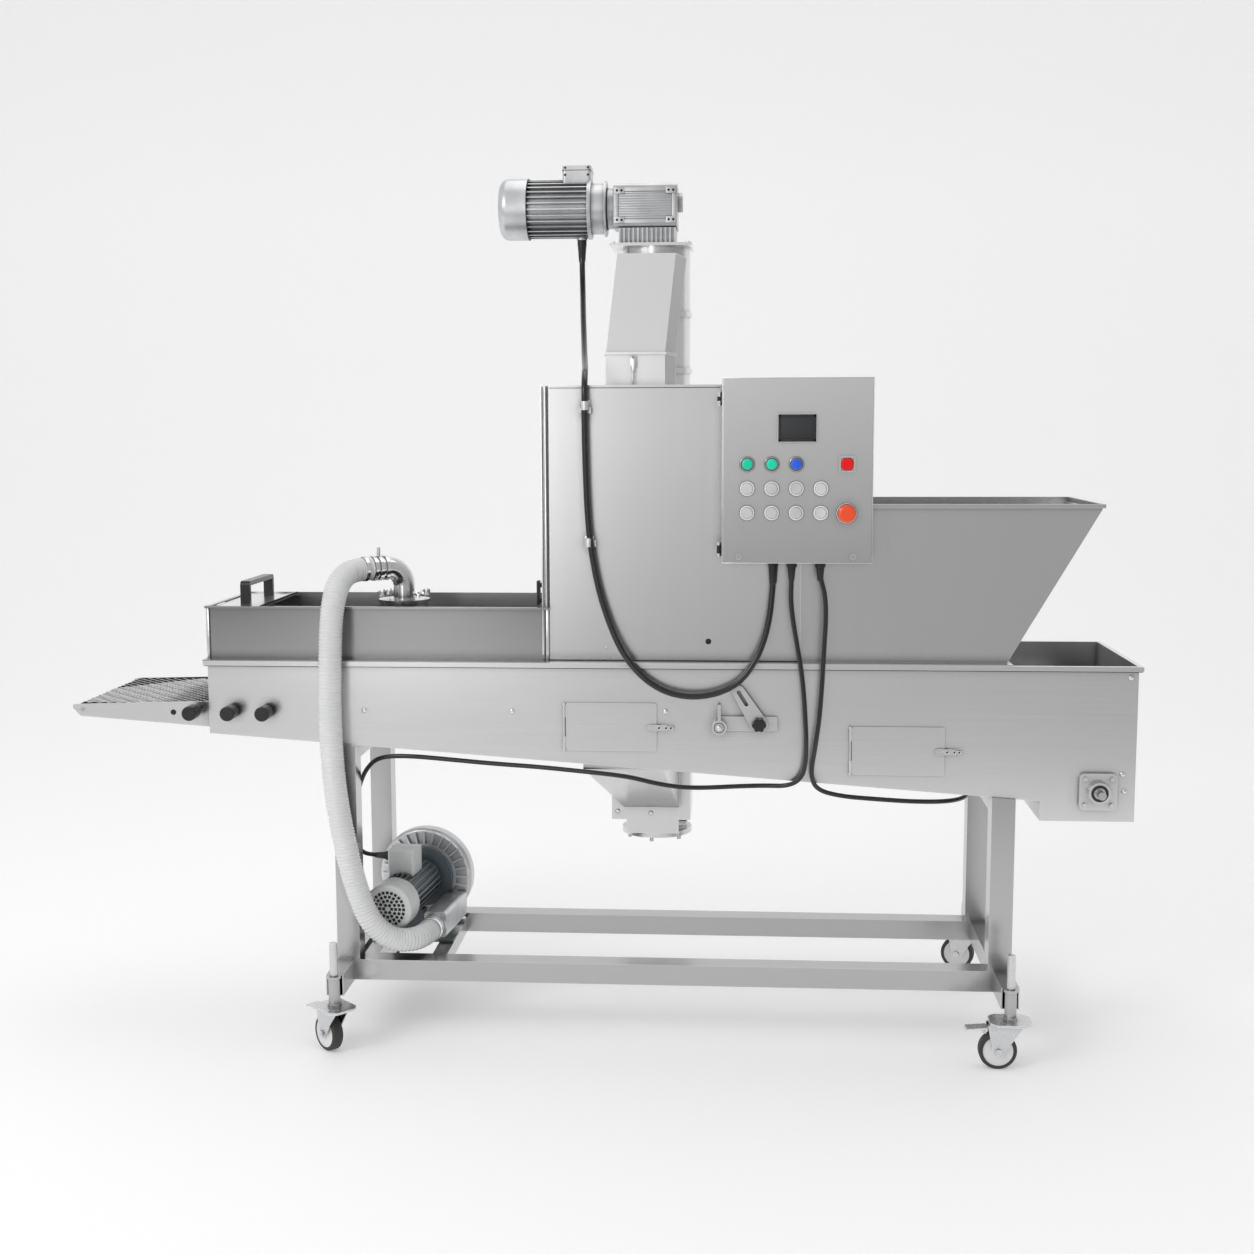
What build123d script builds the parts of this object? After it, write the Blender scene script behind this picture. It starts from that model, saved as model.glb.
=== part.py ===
from build123d import *
from math import cos, hypot, pi, radians, sin, tan
import os

# Breading machine, millimetres. X runs along the belt, Y away from the operator, Z up.
# The origin lies on the floor below the middle of the trough.

# Base frame
leg_tube = 60
leg_wall = 3
leg_span = 1697
frame_center_x = 14
frame_overhang = 6
rail_height = 55
rail_width = 60
beam_width = 45
cross_tube_height = 42
sleeve_outer_r = 15
sleeve_drop = 17
sleeve_rise = 49
collar_height = 6
collar_r = 18

# Casters
caster_half_track = 376
stem_r = 10.5
stem_rise = 87
stem_nut_height = 8
stem_clearance = 0.08
caster_plate_length = 104
caster_plate_width = 84
caster_plate_thickness = 6
caster_plate_chamfer = 16
wheel_r = 47.5
wheel_head_room = 23
wheel_width = 30
hub_r = 36
hub_recess = 3
hub_bevel = 3
rim_step = 2
tread_round = 4
caster_trail = 30
swivel_gap = 0.4
axle_r = 5
axle_clearance = 0.08
axle_head_r = 8
axle_head_length = 5
kingpin_r = 8
kingpin_head_r = 13
fork_wall = 4
fork_side_gap = 2
fork_axle_boss_r = 13
fork_back_overhang = 22
fork_front_inset = 4
fork_corner_r = 5
race_r = 30
race_height = 7
pedal_width = 34
pedal_thickness = 4
pedal_length = 64
pedal_pivot_x = -46
pedal_pivot_lift = 11
pedal_pin_r = 3
pedal_eye_wall = 3
pedal_side_gap = 3
pedal_arm_length = 14
pedal_lip_drop = 7
brake_pad_length = 10
brake_pad_drop = 12
swivel_front_left = -44
swivel_front_right = 0
swivel_rear_left = 24
swivel_rear_right = -18

# Trough
sheet = 3
trough_length = 2380
belt_side_room = 23.5
rim_z = 998
rim_flange = 10
rim_flange_height = 12
floor_left_z = 806
floor_step_z = 651
drop_box_length = 236
drop_box_z = 600
window_bottom_z = 811
window_top_z = 970

# Mesh belt and conveyor
belt_width = 430
belt_thickness = 5
belt_top_z = 880
nose_reach = 345
nose_roller_r = 12
belt_clearance = 0.3
tail_inset = 80
tail_r = 25
drive_inset = 94
drive_z = 679
drive_r = 25
nose_journal_r = 6
journal_clearance = 0.05
cheek_thickness = 3
cheek_gap = 8
cheek_tip_reach = 26
cheek_top_rise = 8
cheek_inner_lap = 90
cheek_depth = 68
bed_thickness = 3
bed_tail_gap = 35
bed_nose_gap = 27
bed_bar_inset = 60
cross_bar_width = 24
cross_bar_height = 12
cross_bar_pitch = 490
drive_shaft_r = 11
drive_shaft_stub = 30
drive_stub_r = 10

# Shaft bearings
bearing_flange = 94
bearing_flange_thickness = 12
bearing_corner_r = 14
bearing_ring_r = 27
bearing_depth = 32
bearing_bolt_r = 5
bearing_bolt_pitch = 67
bearing_bolt_height = 7

# Air box and its duct
box_front_y = -213
box_back_y = 155
box_overhang = 2
box_rim_z = 1138
box_rim_flange = 8
box_rim_thickness = 5
deck_thickness = 3
duct_x = -706
duct_y = -56
duct_drum_r = 68
duct_flange_lap = 6
duct_top_z = 1143
duct_throat_z = 1040
duct_slot_z = 985
duct_slot_width = 36
duct_wall = 3
flange_thickness = 7
pipe_r = 29
pipe_wall = 2.5
pipe_top_z = 1180
elbow_bend_r = 48
elbow_heading = 216
elbow_leg = 74
clamp_r = 33
clamp_width = 9
clamp_bolt_r = 5
clamp_bolt_rise = 24
duct_fit = 1

# Air-box lid
lid_length = 139
lid_thickness = 3
lid_lip = 8
lid_axis_inset = 8
lid_axis_drop = 5
lid_seat_gap = 0.3
lid_ledge_depth = 9
lid_ledge_length = 26
lid_knuckle_length = 70
lid_knuckle_inset = 30
lid_gap = 1
lid_hinge_r = 4
handle_inset = 80
handle_center_y = -36
handle_length = 226
handle_height = 62
handle_bar = 26
handle_thickness = 12

# Main housing and hopper
housing_left_x = -295
housing_right_x = 345
housing_half_depth = 213
housing_top_z = 1703
side_post_width = 21
side_post_inset = 6
hopper_rim_z = 1403
hopper_foot_x = 867
hopper_rim_x = 1093
hopper_rim_drop = 13
hopper_flange = 7
hopper_flange_thickness = 10

# Auger lift
auger_x = -48
auger_standoff = 106.5
casing_r = 95
casing_wall = 3
casing_top_z = 2096
casing_bottom_z = 640
joint_band_height = 14
joint_band_r = 101
joint_upper_z = 1911
joint_lower_z = 1754
seat_gap = 0.3
foot_half = 101
foot_bottom_z = 472
foot_neck_r = 88
foot_ring_r = 102
foot_ring_thickness = 14
foot_ring_top_z = 432
foot_apron_left_x = -174
foot_apron_tongue = 150
foot_stud_r = 6
foot_stud_length = 14
foot_stud_circle_r = 84
funnel_top_left_x = -210
funnel_top_right_x = -3
funnel_bottom_left_x = -138
funnel_bottom_right_x = 21
funnel_end_z = 508
funnel_mouth_height = 110
outlet_width = 120
outlet_height = 112
outlet_drop = 8
screw_shaft_r = 24
screw_shaft_clearance = 0.08
flight_r = 88
flight_pitch = 150
flight_thickness = 5
flight_root_lap = 3
flight_start_gap = 14
flight_end_drop = 76
screw_drop = 8
screw_rise = 20
top_plate_thickness = 8
top_plate_left_x = -174
top_plate_right_x = 54

# Return chute
chute_front_y = 100
chute_back_y = 205
chute_left_x = -173
chute_right_x = -14
chute_flare = 25
chute_collar_z = 1795
chute_top_z = 2066
chute_top_depth = 140
chute_top_lap = 45
chute_shift = 27
chute_wall = 2.5

# Top gear motor
motor_axis_z = 2208
gear_left_x = -166
gear_right_x = 12
gear_bottom_z = 2149
gear_top_z = 2271
gear_depth = 122
gear_rib_depth = 5
gear_rib_pitch = 13
gear_foot_left_x = -151
gear_foot_right_x = 8
gear_cap_r = 27
gear_cap_length = 14
gear_cap_offset = 13
motor_r = 72
motor_fin_r = 81
motor_fin_count = 30
motor_fin_thickness = 3.2
motor_left_x = -409
motor_right_x = -234
fan_cover_r = 85
fan_cover_length = 81
fan_cover_round = 26
bell_r = 70
bell_length = 47
motor_neck_r = 56
motor_terminal_length = 80
motor_terminal_width = 84
motor_terminal_height = 34

# Belt gear motor on the hidden side
belt_gear_size = 110
belt_gear_depth = 90
belt_gear_standoff = 26
belt_motor_r = 62
belt_motor_length = 190

# Blower
blower_x = -698.6
blower_y = 112
blower_rise = 130
blower_turn = 6.1
blower_ring_r = 134
blower_ring_width = 56
blower_core_r = 92
blower_fin_count = 28
blower_fin_thickness = 5
blower_fin_drop = 9
blower_motor_r = 55
blower_motor_fin_r = 62
blower_motor_length = 216
blower_neck_length = 30
blower_cover_r = 66
blower_cover_length = 72
blower_disc_r = 84
blower_disc_length = 14
blower_fin_depth = 9
blower_ring_round = 12
blower_cover_wall = 3
blower_cover_round = 9
grille_ring_pitch = 11
grille_hole = 5
grille_hole_pitch = 11.5
grille_rings = 4
blower_box_width = 72
blower_box_length = 84
blower_box_height = 70
blower_box_x = -43
blower_box_y = -196
blower_box_z = 50
blower_box_gland = (blower_box_y + blower_box_length / 2, 96)
silencer_width = 62
silencer_height = 70
silencer_length = 205
silencer_offset_x = 92
silencer_z = -76
coupling_length = 30
channel_width = 40
channel_height = 40
channel_wall = 4
channel_drop = 9
channel_right_x = -587
channel_left_x = -770

# Control cabinet
cabinet_left_x = 146
cabinet_width = 365
cabinet_height = 449
cabinet_bottom_z = 1266
cabinet_front_y = -370
cabinet_wall = 2
cabinet_standoff = 2
door_thickness = 16
door_gap = 1.5
door_sheet = 2
door_hinge_r = 6
door_hinge_offset = 7
door_hinge_length = 34
door_hinges = (1299, 1665)
hinge_pin_r = 3
screen_width = 94
screen_height = 68
screen_left_x = 280
screen_bottom_z = 1560
screen_depth = 4
button_column_x = 207
button_pitch = 59.5
button_row_top_z = 1507
button_row_drop = 59
button_clearance = 0.1
button_cap_r = 13.5
button_bezel_r = 17
button_bezel_height = 3
button_stroke = 4
button_end_gap = 0.5
button_sleeve_length = 18
stop_stem_r = 9
stop_x = 448
stop_row_z = 1388
stop_cap_r = 22
stop_cap_height = 15
stop_stroke = 6
square_button = 31
lamp_r = 13

# Inspection hatches and latches
hatch_width = 233
hatch_height = 125
hatch_sheet = 2.5
hatch_gap = 0.4
hatch_lap = 14
hatch_left_x = -253.5
hatch_left_z = 770
hatch_right_x = 478
hatch_right_z = 714
hatch_hinge_r = 4
hatch_pin_r = 2
hatch_hinge_offset = 5
hatch_corner_r = 6
hatch_end_knuckle = 6
latch_length = 66
latch_width = 17
latch_thickness = 4
latch_tongue_width = 9
latch_stud_r = 3
latch_inset = 16
latch_offset_z = 62

# Clamping knobs and the gate lever
knob_z = 867
knob_offsets = (-35, 65, 156)
knob_end_gap = 6
knob_seat_gap = 0.3
knob_r = 19
knob_length = 42
knob_neck_r = 11
knob_neck_length = 12
stud_r = 5
stud_clearance = 0.06
gate_boss_x = 140
gate_boss_z = 836
gate_boss_r = 19
gate_blade_thickness = 8
gate_blade_height = 59
gate_axis_x = 241
gate_axis_z = 845
gate_plate_height = 37
gate_plate_right_x = 288
gate_plate_thickness = 8
gate_ring_r = 22
gate_lever_length = 98
gate_lever_width = 32
gate_lever_thickness = 9
gate_lever_angle = 122
gate_gap = 0.3
gate_stud_r = 6
lock_knob_r = 18
lock_knob_length = 22
lock_lobes = 6

# Cables and hose
hose_r = 31
hose_tail_r = 28
hose_stop_length = 9
main_cable_r = 8
side_cable_r = 6
gland_r = 13
gland_length = 16
clip_width = 30
clip_height = 16
clip_gap = 0.5
clip_places = ((-201, 1640), (-190, 1304))
main_cable_y = -240
main_gland_x = 274
main_gland_y = -250
side_gland_y = -290
left_gland_x = 319
right_gland_x = 390
bend_share = 0.45


# Derived places
trough_width = belt_width + 2 * belt_side_room
trough_left_x = -trough_length / 2
trough_right_x = trough_length / 2
trough_front_y = -trough_width / 2
trough_rear_y = trough_width / 2
step_x = trough_right_x - drop_box_length
floor_slope = (floor_step_z - floor_left_z) / (step_x - trough_left_x)
deck_z = rim_z + deck_thickness
deck_reach = trough_width / 2 + rim_flange
frame_half_depth = trough_width / 2 + frame_overhang
caster_plate_bottom_z = 2 * wheel_r + wheel_head_room
caster_plate_top_z = caster_plate_bottom_z + caster_plate_thickness
rail_bottom_z = caster_plate_top_z + stem_nut_height + sleeve_drop
rail_top_z = rail_bottom_z + rail_height
stem_top_z = rail_top_z + stem_rise
pedal_pivot_z = 2 * wheel_r + pedal_pivot_lift
channel_top_z = rail_top_z - channel_drop
blower_z = rail_top_z + blower_rise
belt_inner_top_z = belt_top_z - belt_thickness
nose_x = trough_left_x - nose_reach
nose_z = belt_inner_top_z - nose_roller_r
tail_x = trough_right_x - tail_inset
tail_z = belt_inner_top_z - tail_r
drive_x = trough_right_x - drive_inset
cheek_tip_x = nose_x - cheek_tip_reach
cheek_inner_end_x = trough_left_x + cheek_inner_lap
bed_start_x = nose_x + bed_nose_gap
bed_end_x = tail_x - bed_tail_gap
knob_x = [trough_left_x + offset for offset in knob_offsets]
bed_top_z = belt_inner_top_z - belt_clearance
cheek_y = belt_width / 2 + cheek_gap
box_left_x = trough_left_x - box_overhang
hinge_y0 = box_front_y + sheet
hinge_y1 = box_back_y - sheet
lid_axis_x = box_left_x + sheet + lid_axis_inset
lid_axis_z = box_rim_z - lid_axis_drop
lid_right_x = box_left_x + lid_length
handle_x = box_left_x + handle_inset
elbow_z = pipe_top_z + elbow_bend_r
elbow_total = elbow_bend_r + elbow_leg - 26
auger_y = trough_rear_y + auger_standoff
chute_top_back_y = auger_y - chute_top_lap
chute_top_front_y = chute_top_back_y - chute_top_depth
top_gland = (-259.5, auger_y, motor_axis_z - motor_fin_r - 5)
hatch_axis_y = trough_front_y - hatch_hinge_r + 0.5
hatches = {"left": (hatch_left_x, hatch_left_z), "right": (hatch_right_x, hatch_right_z)}
cabinet_right_x = cabinet_left_x + cabinet_width
cabinet_top_z = cabinet_bottom_z + cabinet_height
cabinet_back_y = -housing_half_depth - hopper_flange - cabinet_standoff
top_plate_z = casing_top_z + top_plate_thickness
door_front_y = cabinet_front_y
door_back_y = cabinet_front_y + door_thickness
door_axis_x = cabinet_left_x - door_hinge_offset
door_axis_y = door_back_y
button_cap_height = button_stroke + button_end_gap
row_z = [button_row_top_z - step * button_row_drop for step in range(3)]
lamp_places = [(button_column_x + step * button_pitch, row_z[0]) for step in range(3)]
square_place = (stop_x, row_z[0])
stop_place = (stop_x, stop_row_z)
round_buttons = {
    "button_" + str(row) + "_" + str(step + 1): (button_column_x + step * button_pitch, row_z[row - 1])
    for row in (2, 3) for step in range(4)
}
gate_plate_front_y = trough_front_y - gate_plate_thickness
gate_lever_front_y = gate_plate_front_y - gate_gap - gate_lever_thickness
lock_knob_back_y = gate_lever_front_y - gate_gap
belt_box_y1 = trough_rear_y + belt_gear_standoff + belt_gear_depth
belt_box_gland = (drive_x - belt_gear_size / 2 - belt_motor_length + 60, belt_box_y1 + 32, 655)
casters = {
    "front_left": (-1, -1, swivel_front_left),
    "front_right": (1, -1, swivel_front_right),
    "rear_left": (-1, 1, swivel_rear_left),
    "rear_right": (1, 1, swivel_rear_right),
}


def floor_z(x):
    return floor_left_z + floor_slope * (x - trough_left_x)


def block(x0, x1, y0, y1, z0, z1):
    return Pos((x0 + x1) / 2, (y0 + y1) / 2, (z0 + z1) / 2) * Box(x1 - x0, y1 - y0, z1 - z0)


def side_prism(points, y0, y1):
    face = make_face(Polyline(*[(x, 0, z) for x, z in points], close=True))
    return Pos(0, y0, 0) * extrude(face, y1 - y0, dir=(0, 1, 0))


def plan_prism(points, z0, z1):
    face = make_face(Polyline(*[(x, y) for x, y in points], close=True))
    return Pos(0, 0, z0) * extrude(face, z1 - z0, dir=(0, 0, 1))


def rod_z(x, y, z0, z1, r):
    return Pos(x, y, (z0 + z1) / 2) * Cylinder(r, z1 - z0)


def rod_y(x, z, y0, y1, r):
    return Pos(x, (y0 + y1) / 2, z) * Rot(90, 0, 0) * Cylinder(r, y1 - y0)


def rod_x(y, z, x0, x1, r):
    return Pos((x0 + x1) / 2, y, z) * Rot(0, 90, 0) * Cylinder(r, x1 - x0)


def box_tube(x0, x1, y0, y1, z0, z1, wall, along):
    a, b, c = {"x": (0, wall, wall), "y": (wall, 0, wall), "z": (wall, wall, 0)}[along]
    outer = block(x0, x1, y0, y1, z0, z1)
    return outer - block(x0 + a, x1 - a, y0 + b, y1 - b, z0 + c, z1 - c)


def save(node, shape):
    parts = shape if isinstance(shape, (list, tuple)) else [shape]
    solids = [solid for item in parts for solid in item.solids()]
    model = solids[0] if len(solids) == 1 else Compound(children=solids)
    model.label = node
    export_step(model, "parts/" + node + ".step")


def route(points):
    radii = []
    for a, b, c in zip(points, points[1:], points[2:]):
        first = Vector(*b) - Vector(*a)
        second = Vector(*c) - Vector(*b)
        turn = radians(first.get_angle(second))
        radii.append(bend_share * min(first.length, second.length) / tan(turn / 2))
    return FilletPolyline(*points, radius=radii), radii


def cord(name, points, r):
    path, radii = route(points)
    profile = Plane(origin=path @ 0, z_dir=path % 0) * Circle(r)
    tube = sweep(profile, path=path)
    print(name, "length", round(path.length, 1), "radii", [round(value) for value in radii],
          "volume ratio", round(tube.volume / (pi * r * r * path.length), 4))
    return tube


# Hull outline of circles standing in the XZ plane
def hull_plate(circles, y0, y1):
    edges = [edge for x, z, r in circles for edge in (Pos(x, z) * Circle(r)).edges()]
    return Pos(0, y1, 0) * Rot(90, 0, 0) * extrude(make_hull(edges), y1 - y0)


def beam_range(side):
    outer = frame_center_x + side * (leg_span + leg_tube) / 2
    inner = outer - side * beam_width
    return min(outer, inner), max(outer, inner)


def stem_x(side):
    return sum(beam_range(side)) / 2


def leg_outline(x0, x1):
    return [(x0, rail_top_z), (x1, rail_top_z), (x1, floor_z(x1) - cross_tube_height),
            (x0, floor_z(x0) - cross_tube_height)]


def side_frame(side):
    leg_x = frame_center_x + side * leg_span / 2
    x0 = leg_x - leg_tube / 2
    x1 = leg_x + leg_tube / 2
    beam_x0, beam_x1 = beam_range(side)
    reach = caster_half_track - sleeve_outer_r / 2
    frame = box_tube(beam_x0, beam_x1, -reach, reach, rail_bottom_z, rail_top_z, leg_wall, "y")

    def under_floor(a, b, drop_top, drop_bottom):
        return [(a, floor_z(a) - drop_bottom), (b, floor_z(b) - drop_bottom),
                (b, floor_z(b) - drop_top), (a, floor_z(a) - drop_top)]

    cross = side_prism(under_floor(x0, x1, 0, cross_tube_height), -frame_half_depth, frame_half_depth)
    hollow = under_floor(x0 + leg_wall, x1 - leg_wall, leg_wall, cross_tube_height - leg_wall)
    cross -= side_prism(hollow, -frame_half_depth + leg_wall, frame_half_depth - leg_wall)
    frame += cross
    for end in (-1, 1):
        y_outer = end * frame_half_depth
        y_inner = end * (frame_half_depth - leg_tube)
        y0, y1 = min(y_outer, y_inner), max(y_outer, y_inner)
        leg = side_prism(leg_outline(x0, x1), y0, y1)
        bore = leg_outline(x0 + leg_wall, x1 - leg_wall)
        frame += leg - side_prism(bore, y0 + leg_wall, y1 - leg_wall)
        y = end * caster_half_track
        z0 = rail_bottom_z - sleeve_drop
        z1 = z0 + sleeve_drop + sleeve_rise
        sleeve = rod_z(stem_x(side), y, z0, z1, sleeve_outer_r)
        sleeve += rod_z(stem_x(side), y, z1, z1 + collar_height, collar_r)
        frame += sleeve
        frame -= rod_z(stem_x(side), y, z0 - 1, z1 + collar_height + 1, stem_r + stem_clearance)
    return frame


def cross_channel(right_x):
    reach = frame_half_depth - rail_width
    x0 = right_x - channel_width
    z0 = channel_top_z - channel_height
    channel = block(x0, right_x, -reach, reach, z0, channel_top_z)
    hollow_top = channel_top_z - channel_wall
    return channel - block(x0 + channel_wall, right_x - channel_wall, -reach, reach, z0, hollow_top)


def base_frame():
    frame = side_frame(-1) + side_frame(1)
    x0 = beam_range(-1)[1]
    x1 = beam_range(1)[0]
    inner = frame_half_depth - rail_width
    frame += box_tube(x0, x1, -frame_half_depth, -inner, rail_bottom_z, rail_top_z, leg_wall, "x")
    frame += box_tube(x0, x1, inner, frame_half_depth, rail_bottom_z, rail_top_z, leg_wall, "x")
    for right_x in (channel_left_x, channel_right_x):
        frame += cross_channel(right_x)
    return frame


# One caster, its stem at the origin and its wheel trailing towards -X
def caster_stem():
    half = caster_plate_length / 2
    width = caster_plate_width / 2
    cut = caster_plate_chamfer
    outline = [(-half + cut, -width), (half - cut, -width), (half, -width + cut), (half, width - cut),
               (half - cut, width), (-half + cut, width), (-half, width - cut), (-half, -width + cut)]
    plate = plan_prism(outline, caster_plate_bottom_z, caster_plate_top_z)
    nut_top = rail_bottom_z - sleeve_drop
    nut = extrude(RegularPolygon(collar_r, 6), nut_top - caster_plate_top_z)
    stem = plate + Pos(0, 0, caster_plate_top_z) * nut + rod_z(0, 0, caster_plate_top_z, stem_top_z, stem_r)
    pin_end = caster_plate_bottom_z - swivel_gap - fork_wall - swivel_gap
    stem += rod_z(0, 0, pin_end, caster_plate_bottom_z, kingpin_r)
    stem += rod_z(0, 0, pin_end - race_height, pin_end, kingpin_head_r)
    return stem


def fork():
    top_z = caster_plate_bottom_z - swivel_gap
    crown_z = top_z - fork_wall
    inner = wheel_width / 2 + fork_side_gap
    outer = inner + fork_wall
    back = -caster_trail - fork_back_overhang
    ahead = race_r - fork_front_inset
    corner_z = crown_z - 1
    cheek = hull_plate([(-caster_trail, wheel_r, fork_axle_boss_r), (back, corner_z, fork_corner_r),
                        (ahead, corner_z, fork_corner_r)], inner, outer)
    cheek -= block(-2 * wheel_r, 2 * wheel_r, inner - 1, outer + 1, crown_z, top_z + 10)
    shape = cheek + mirror(cheek, Plane.XZ)
    shape += rod_z(0, 0, crown_z, top_z, race_r)
    shape += block(back, ahead, -outer, outer, crown_z, top_z)
    shape -= rod_z(0, 0, crown_z - 1, top_z + 1, kingpin_r + axle_clearance)
    end = outer + axle_head_length
    shape += rod_y(-caster_trail, wheel_r, -end, end, axle_r)
    for y0, y1 in ((-end, -outer), (outer, end)):
        shape += rod_y(-caster_trail, wheel_r, y0, y1, axle_head_r)
    return shape


def braked_fork():
    inner = wheel_width / 2 + fork_side_gap
    return fork() + rod_y(pedal_pivot_x, pedal_pivot_z, -inner, inner, pedal_pin_r)


def wheel():
    half = wheel_width / 2
    deep = half - hub_recess
    upper = [(wheel_r, half - tread_round), (wheel_r - tread_round, half),
             (hub_r + rim_step, half), (hub_r, deep),
             (fork_axle_boss_r + hub_bevel, deep), (fork_axle_boss_r, half), (axle_r + axle_clearance, half)]
    lower = [(r, -w) for r, w in reversed(upper)]
    face = make_face(Polyline(*[(r, 0, w) for r, w in lower + upper], close=True))
    tyre = revolve(face, Axis.Z)
    return Pos(-caster_trail, 0, wheel_r) * Rot(90, 0, 0) * tyre


def brake_pedal():
    half = wheel_width / 2 + fork_side_gap - pedal_side_gap - 2
    z0 = pedal_pivot_z - pedal_thickness / 2
    z1 = z0 + pedal_thickness
    root = pedal_pivot_x - pedal_arm_length
    tip = pedal_pivot_x - pedal_length
    arm = block(root, pedal_pivot_x, -half, half, z0, z1)
    arm += rod_y(pedal_pivot_x, pedal_pivot_z, -half, half, pedal_pin_r + pedal_eye_wall)
    arm -= rod_y(pedal_pivot_x, pedal_pivot_z, -half - 1, half + 1, pedal_pin_r + axle_clearance)
    lip_z = z0 - pedal_lip_drop
    tread = side_prism([(root + 2, z0), (root + 2, z1), (tip, z0),
                        (tip - pedal_thickness, lip_z + 1), (tip, lip_z),
                        (tip + 3, lip_z + 3)], -pedal_width / 2, pedal_width / 2)
    pad = block(root - brake_pad_length, root, -half, half, z0 - brake_pad_drop, z0)
    return arm + tread + pad


def at_caster(name, shape):
    side, end, swivel = casters[name]
    return Pos(stem_x(side), end * caster_half_track, 0) * Rot(0, 0, swivel) * shape


# Inspection hatches: hinged on their left edge, latched on their right
def hatch_knuckles(z0, z1):
    third = (z1 - z0) / 3
    end = hatch_end_knuckle
    return [(z0 + end, z0 + third - 4), (z1 - third + 4, z1 - end)]


def hatch_fixed_hinge(x0, z0, z1):
    axis_x = x0 - hatch_hinge_offset
    shape = rod_z(axis_x, hatch_axis_y, z0, z1, hatch_pin_r)
    knuckle = hatch_end_knuckle - hatch_gap
    for a, b in ((z0, z0 + knuckle), (z1 - knuckle, z1)):
        shape += rod_z(axis_x, hatch_axis_y, a, b, hatch_hinge_r)
        shape += block(axis_x - hatch_hinge_r, axis_x, hatch_axis_y, trough_front_y + 1, a, b)
    return shape


def hatch(x0, z0):
    x1 = x0 + hatch_width
    z1 = z0 + hatch_height
    back_y = trough_front_y - hatch_gap
    panel = block(x0, x1, back_y - hatch_sheet, back_y, z0, z1)
    panel = fillet(panel.edges().filter_by(Axis.Y), hatch_corner_r)
    axis_x = x0 - hatch_hinge_offset
    for a, b in hatch_knuckles(z0, z1):
        panel += rod_z(axis_x, hatch_axis_y, a, b, hatch_hinge_r - 0.8)
        panel += block(axis_x, x0 + 2, back_y - hatch_sheet, back_y - 0.2, a, b)
    for a, b in hatch_knuckles(z0, z1):
        panel -= rod_z(axis_x, hatch_axis_y, a - 1, b + 1, hatch_pin_r + journal_clearance)
    px, pz = latch_pivot(x0, z0)
    front_y = back_y - hatch_sheet
    return panel + rod_y(px, pz, front_y - latch_thickness - 3, front_y, latch_stud_r)


def latch_pivot(x0, z0):
    return x0 + hatch_width - latch_inset, z0 + latch_offset_z


def latch(x0, z0):
    px, pz = latch_pivot(x0, z0)
    back_y = trough_front_y - hatch_gap - hatch_sheet - 0.3
    front_y = back_y - latch_thickness
    r = latch_width / 2
    tongue_r = latch_tongue_width / 2
    bar = hull_plate([(px, pz, r), (px + latch_length - r - 18, pz, r - 1)], front_y, back_y)
    bar += hull_plate([(px + 24, pz, tongue_r), (px + latch_length - 10, pz, tongue_r)], front_y, back_y)
    return bar - rod_y(px, pz, front_y - 1, back_y + 1, latch_stud_r + stud_clearance)


def latch_keeper(x0, z0):
    px, pz = latch_pivot(x0, z0)
    y0 = trough_front_y - hatch_gap - hatch_sheet
    half = latch_width / 2
    return block(px + 28, px + latch_length - 8, y0, trough_front_y, pz - half, pz + half)


def knob_stud(x, plate_y):
    return rod_y(x, knob_z, plate_y - knob_neck_length - 18, plate_y, stud_r)


def side_knob(x, plate_y):
    front_y = trough_front_y - knob_neck_length - knob_length - knob_end_gap
    back_y = plate_y - knob_seat_gap
    shape = rod_y(x, knob_z, front_y, front_y + knob_length, knob_r)
    shape = fillet(shape.edges().filter_by(GeomType.CIRCLE), 3)
    shape += rod_y(x, knob_z, front_y + knob_length, back_y, knob_neck_r)
    shape -= rod_y(x, knob_z, plate_y - knob_neck_length - 18.5, plate_y, stud_r + stud_clearance)
    return shape


def trough():
    left, right = trough_left_x, trough_right_x
    outline = [(left, floor_left_z), (step_x, floor_step_z), (step_x, drop_box_z), (right, drop_box_z),
               (right, rim_z), (left, rim_z)]
    inner_left, inner_step = left + sheet, step_x + sheet
    cavity = [(inner_left, floor_z(inner_left) + sheet), (inner_step, floor_z(inner_step) + sheet),
              (step_x + sheet, drop_box_z + sheet), (right - sheet, drop_box_z + sheet),
              (right - sheet, rim_z + 1), (left + sheet, rim_z + 1)]
    shape = side_prism(outline, trough_front_y, trough_rear_y)
    lip_z = rim_z - rim_flange_height
    shape += block(left - rim_flange, right + rim_flange, -deck_reach, deck_reach, lip_z, rim_z)
    shape -= side_prism(cavity, trough_front_y + sheet, trough_rear_y - sheet)
    shape -= block(left - 1, left + sheet + 1, -cheek_y - 2, cheek_y + 2, window_bottom_z, window_top_z)
    shape -= rod_y(drive_x, drive_z, trough_front_y - 1, trough_rear_y + 1, drive_shaft_r + 5)
    mouth_x0 = funnel_top_left_x + sheet + 2
    mouth_x1 = funnel_top_right_x - sheet - 2
    mouth_y = trough_width / 2 - 12
    mouth = [(mouth_x0, floor_z(mouth_x0) - 6), (mouth_x1, floor_z(mouth_x1) - 6),
             (mouth_x1, floor_z(mouth_x1) + 8), (mouth_x0, floor_z(mouth_x0) + 8)]
    shape -= side_prism(mouth, -mouth_y, mouth_y)
    for x0, z0 in hatches.values():
        x1, z1 = x0 + hatch_width, z0 + hatch_height
        shape -= block(x0 + hatch_lap, x1 - hatch_lap, trough_front_y - 1, trough_front_y + sheet + 1,
                       z0 + hatch_lap, z1 - hatch_lap)
        shape += hatch_fixed_hinge(x0, z0, z1)
        shape += latch_keeper(x0, z0)
    for x in knob_x[1:]:
        shape += knob_stud(x, trough_front_y)
    return shape


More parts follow.
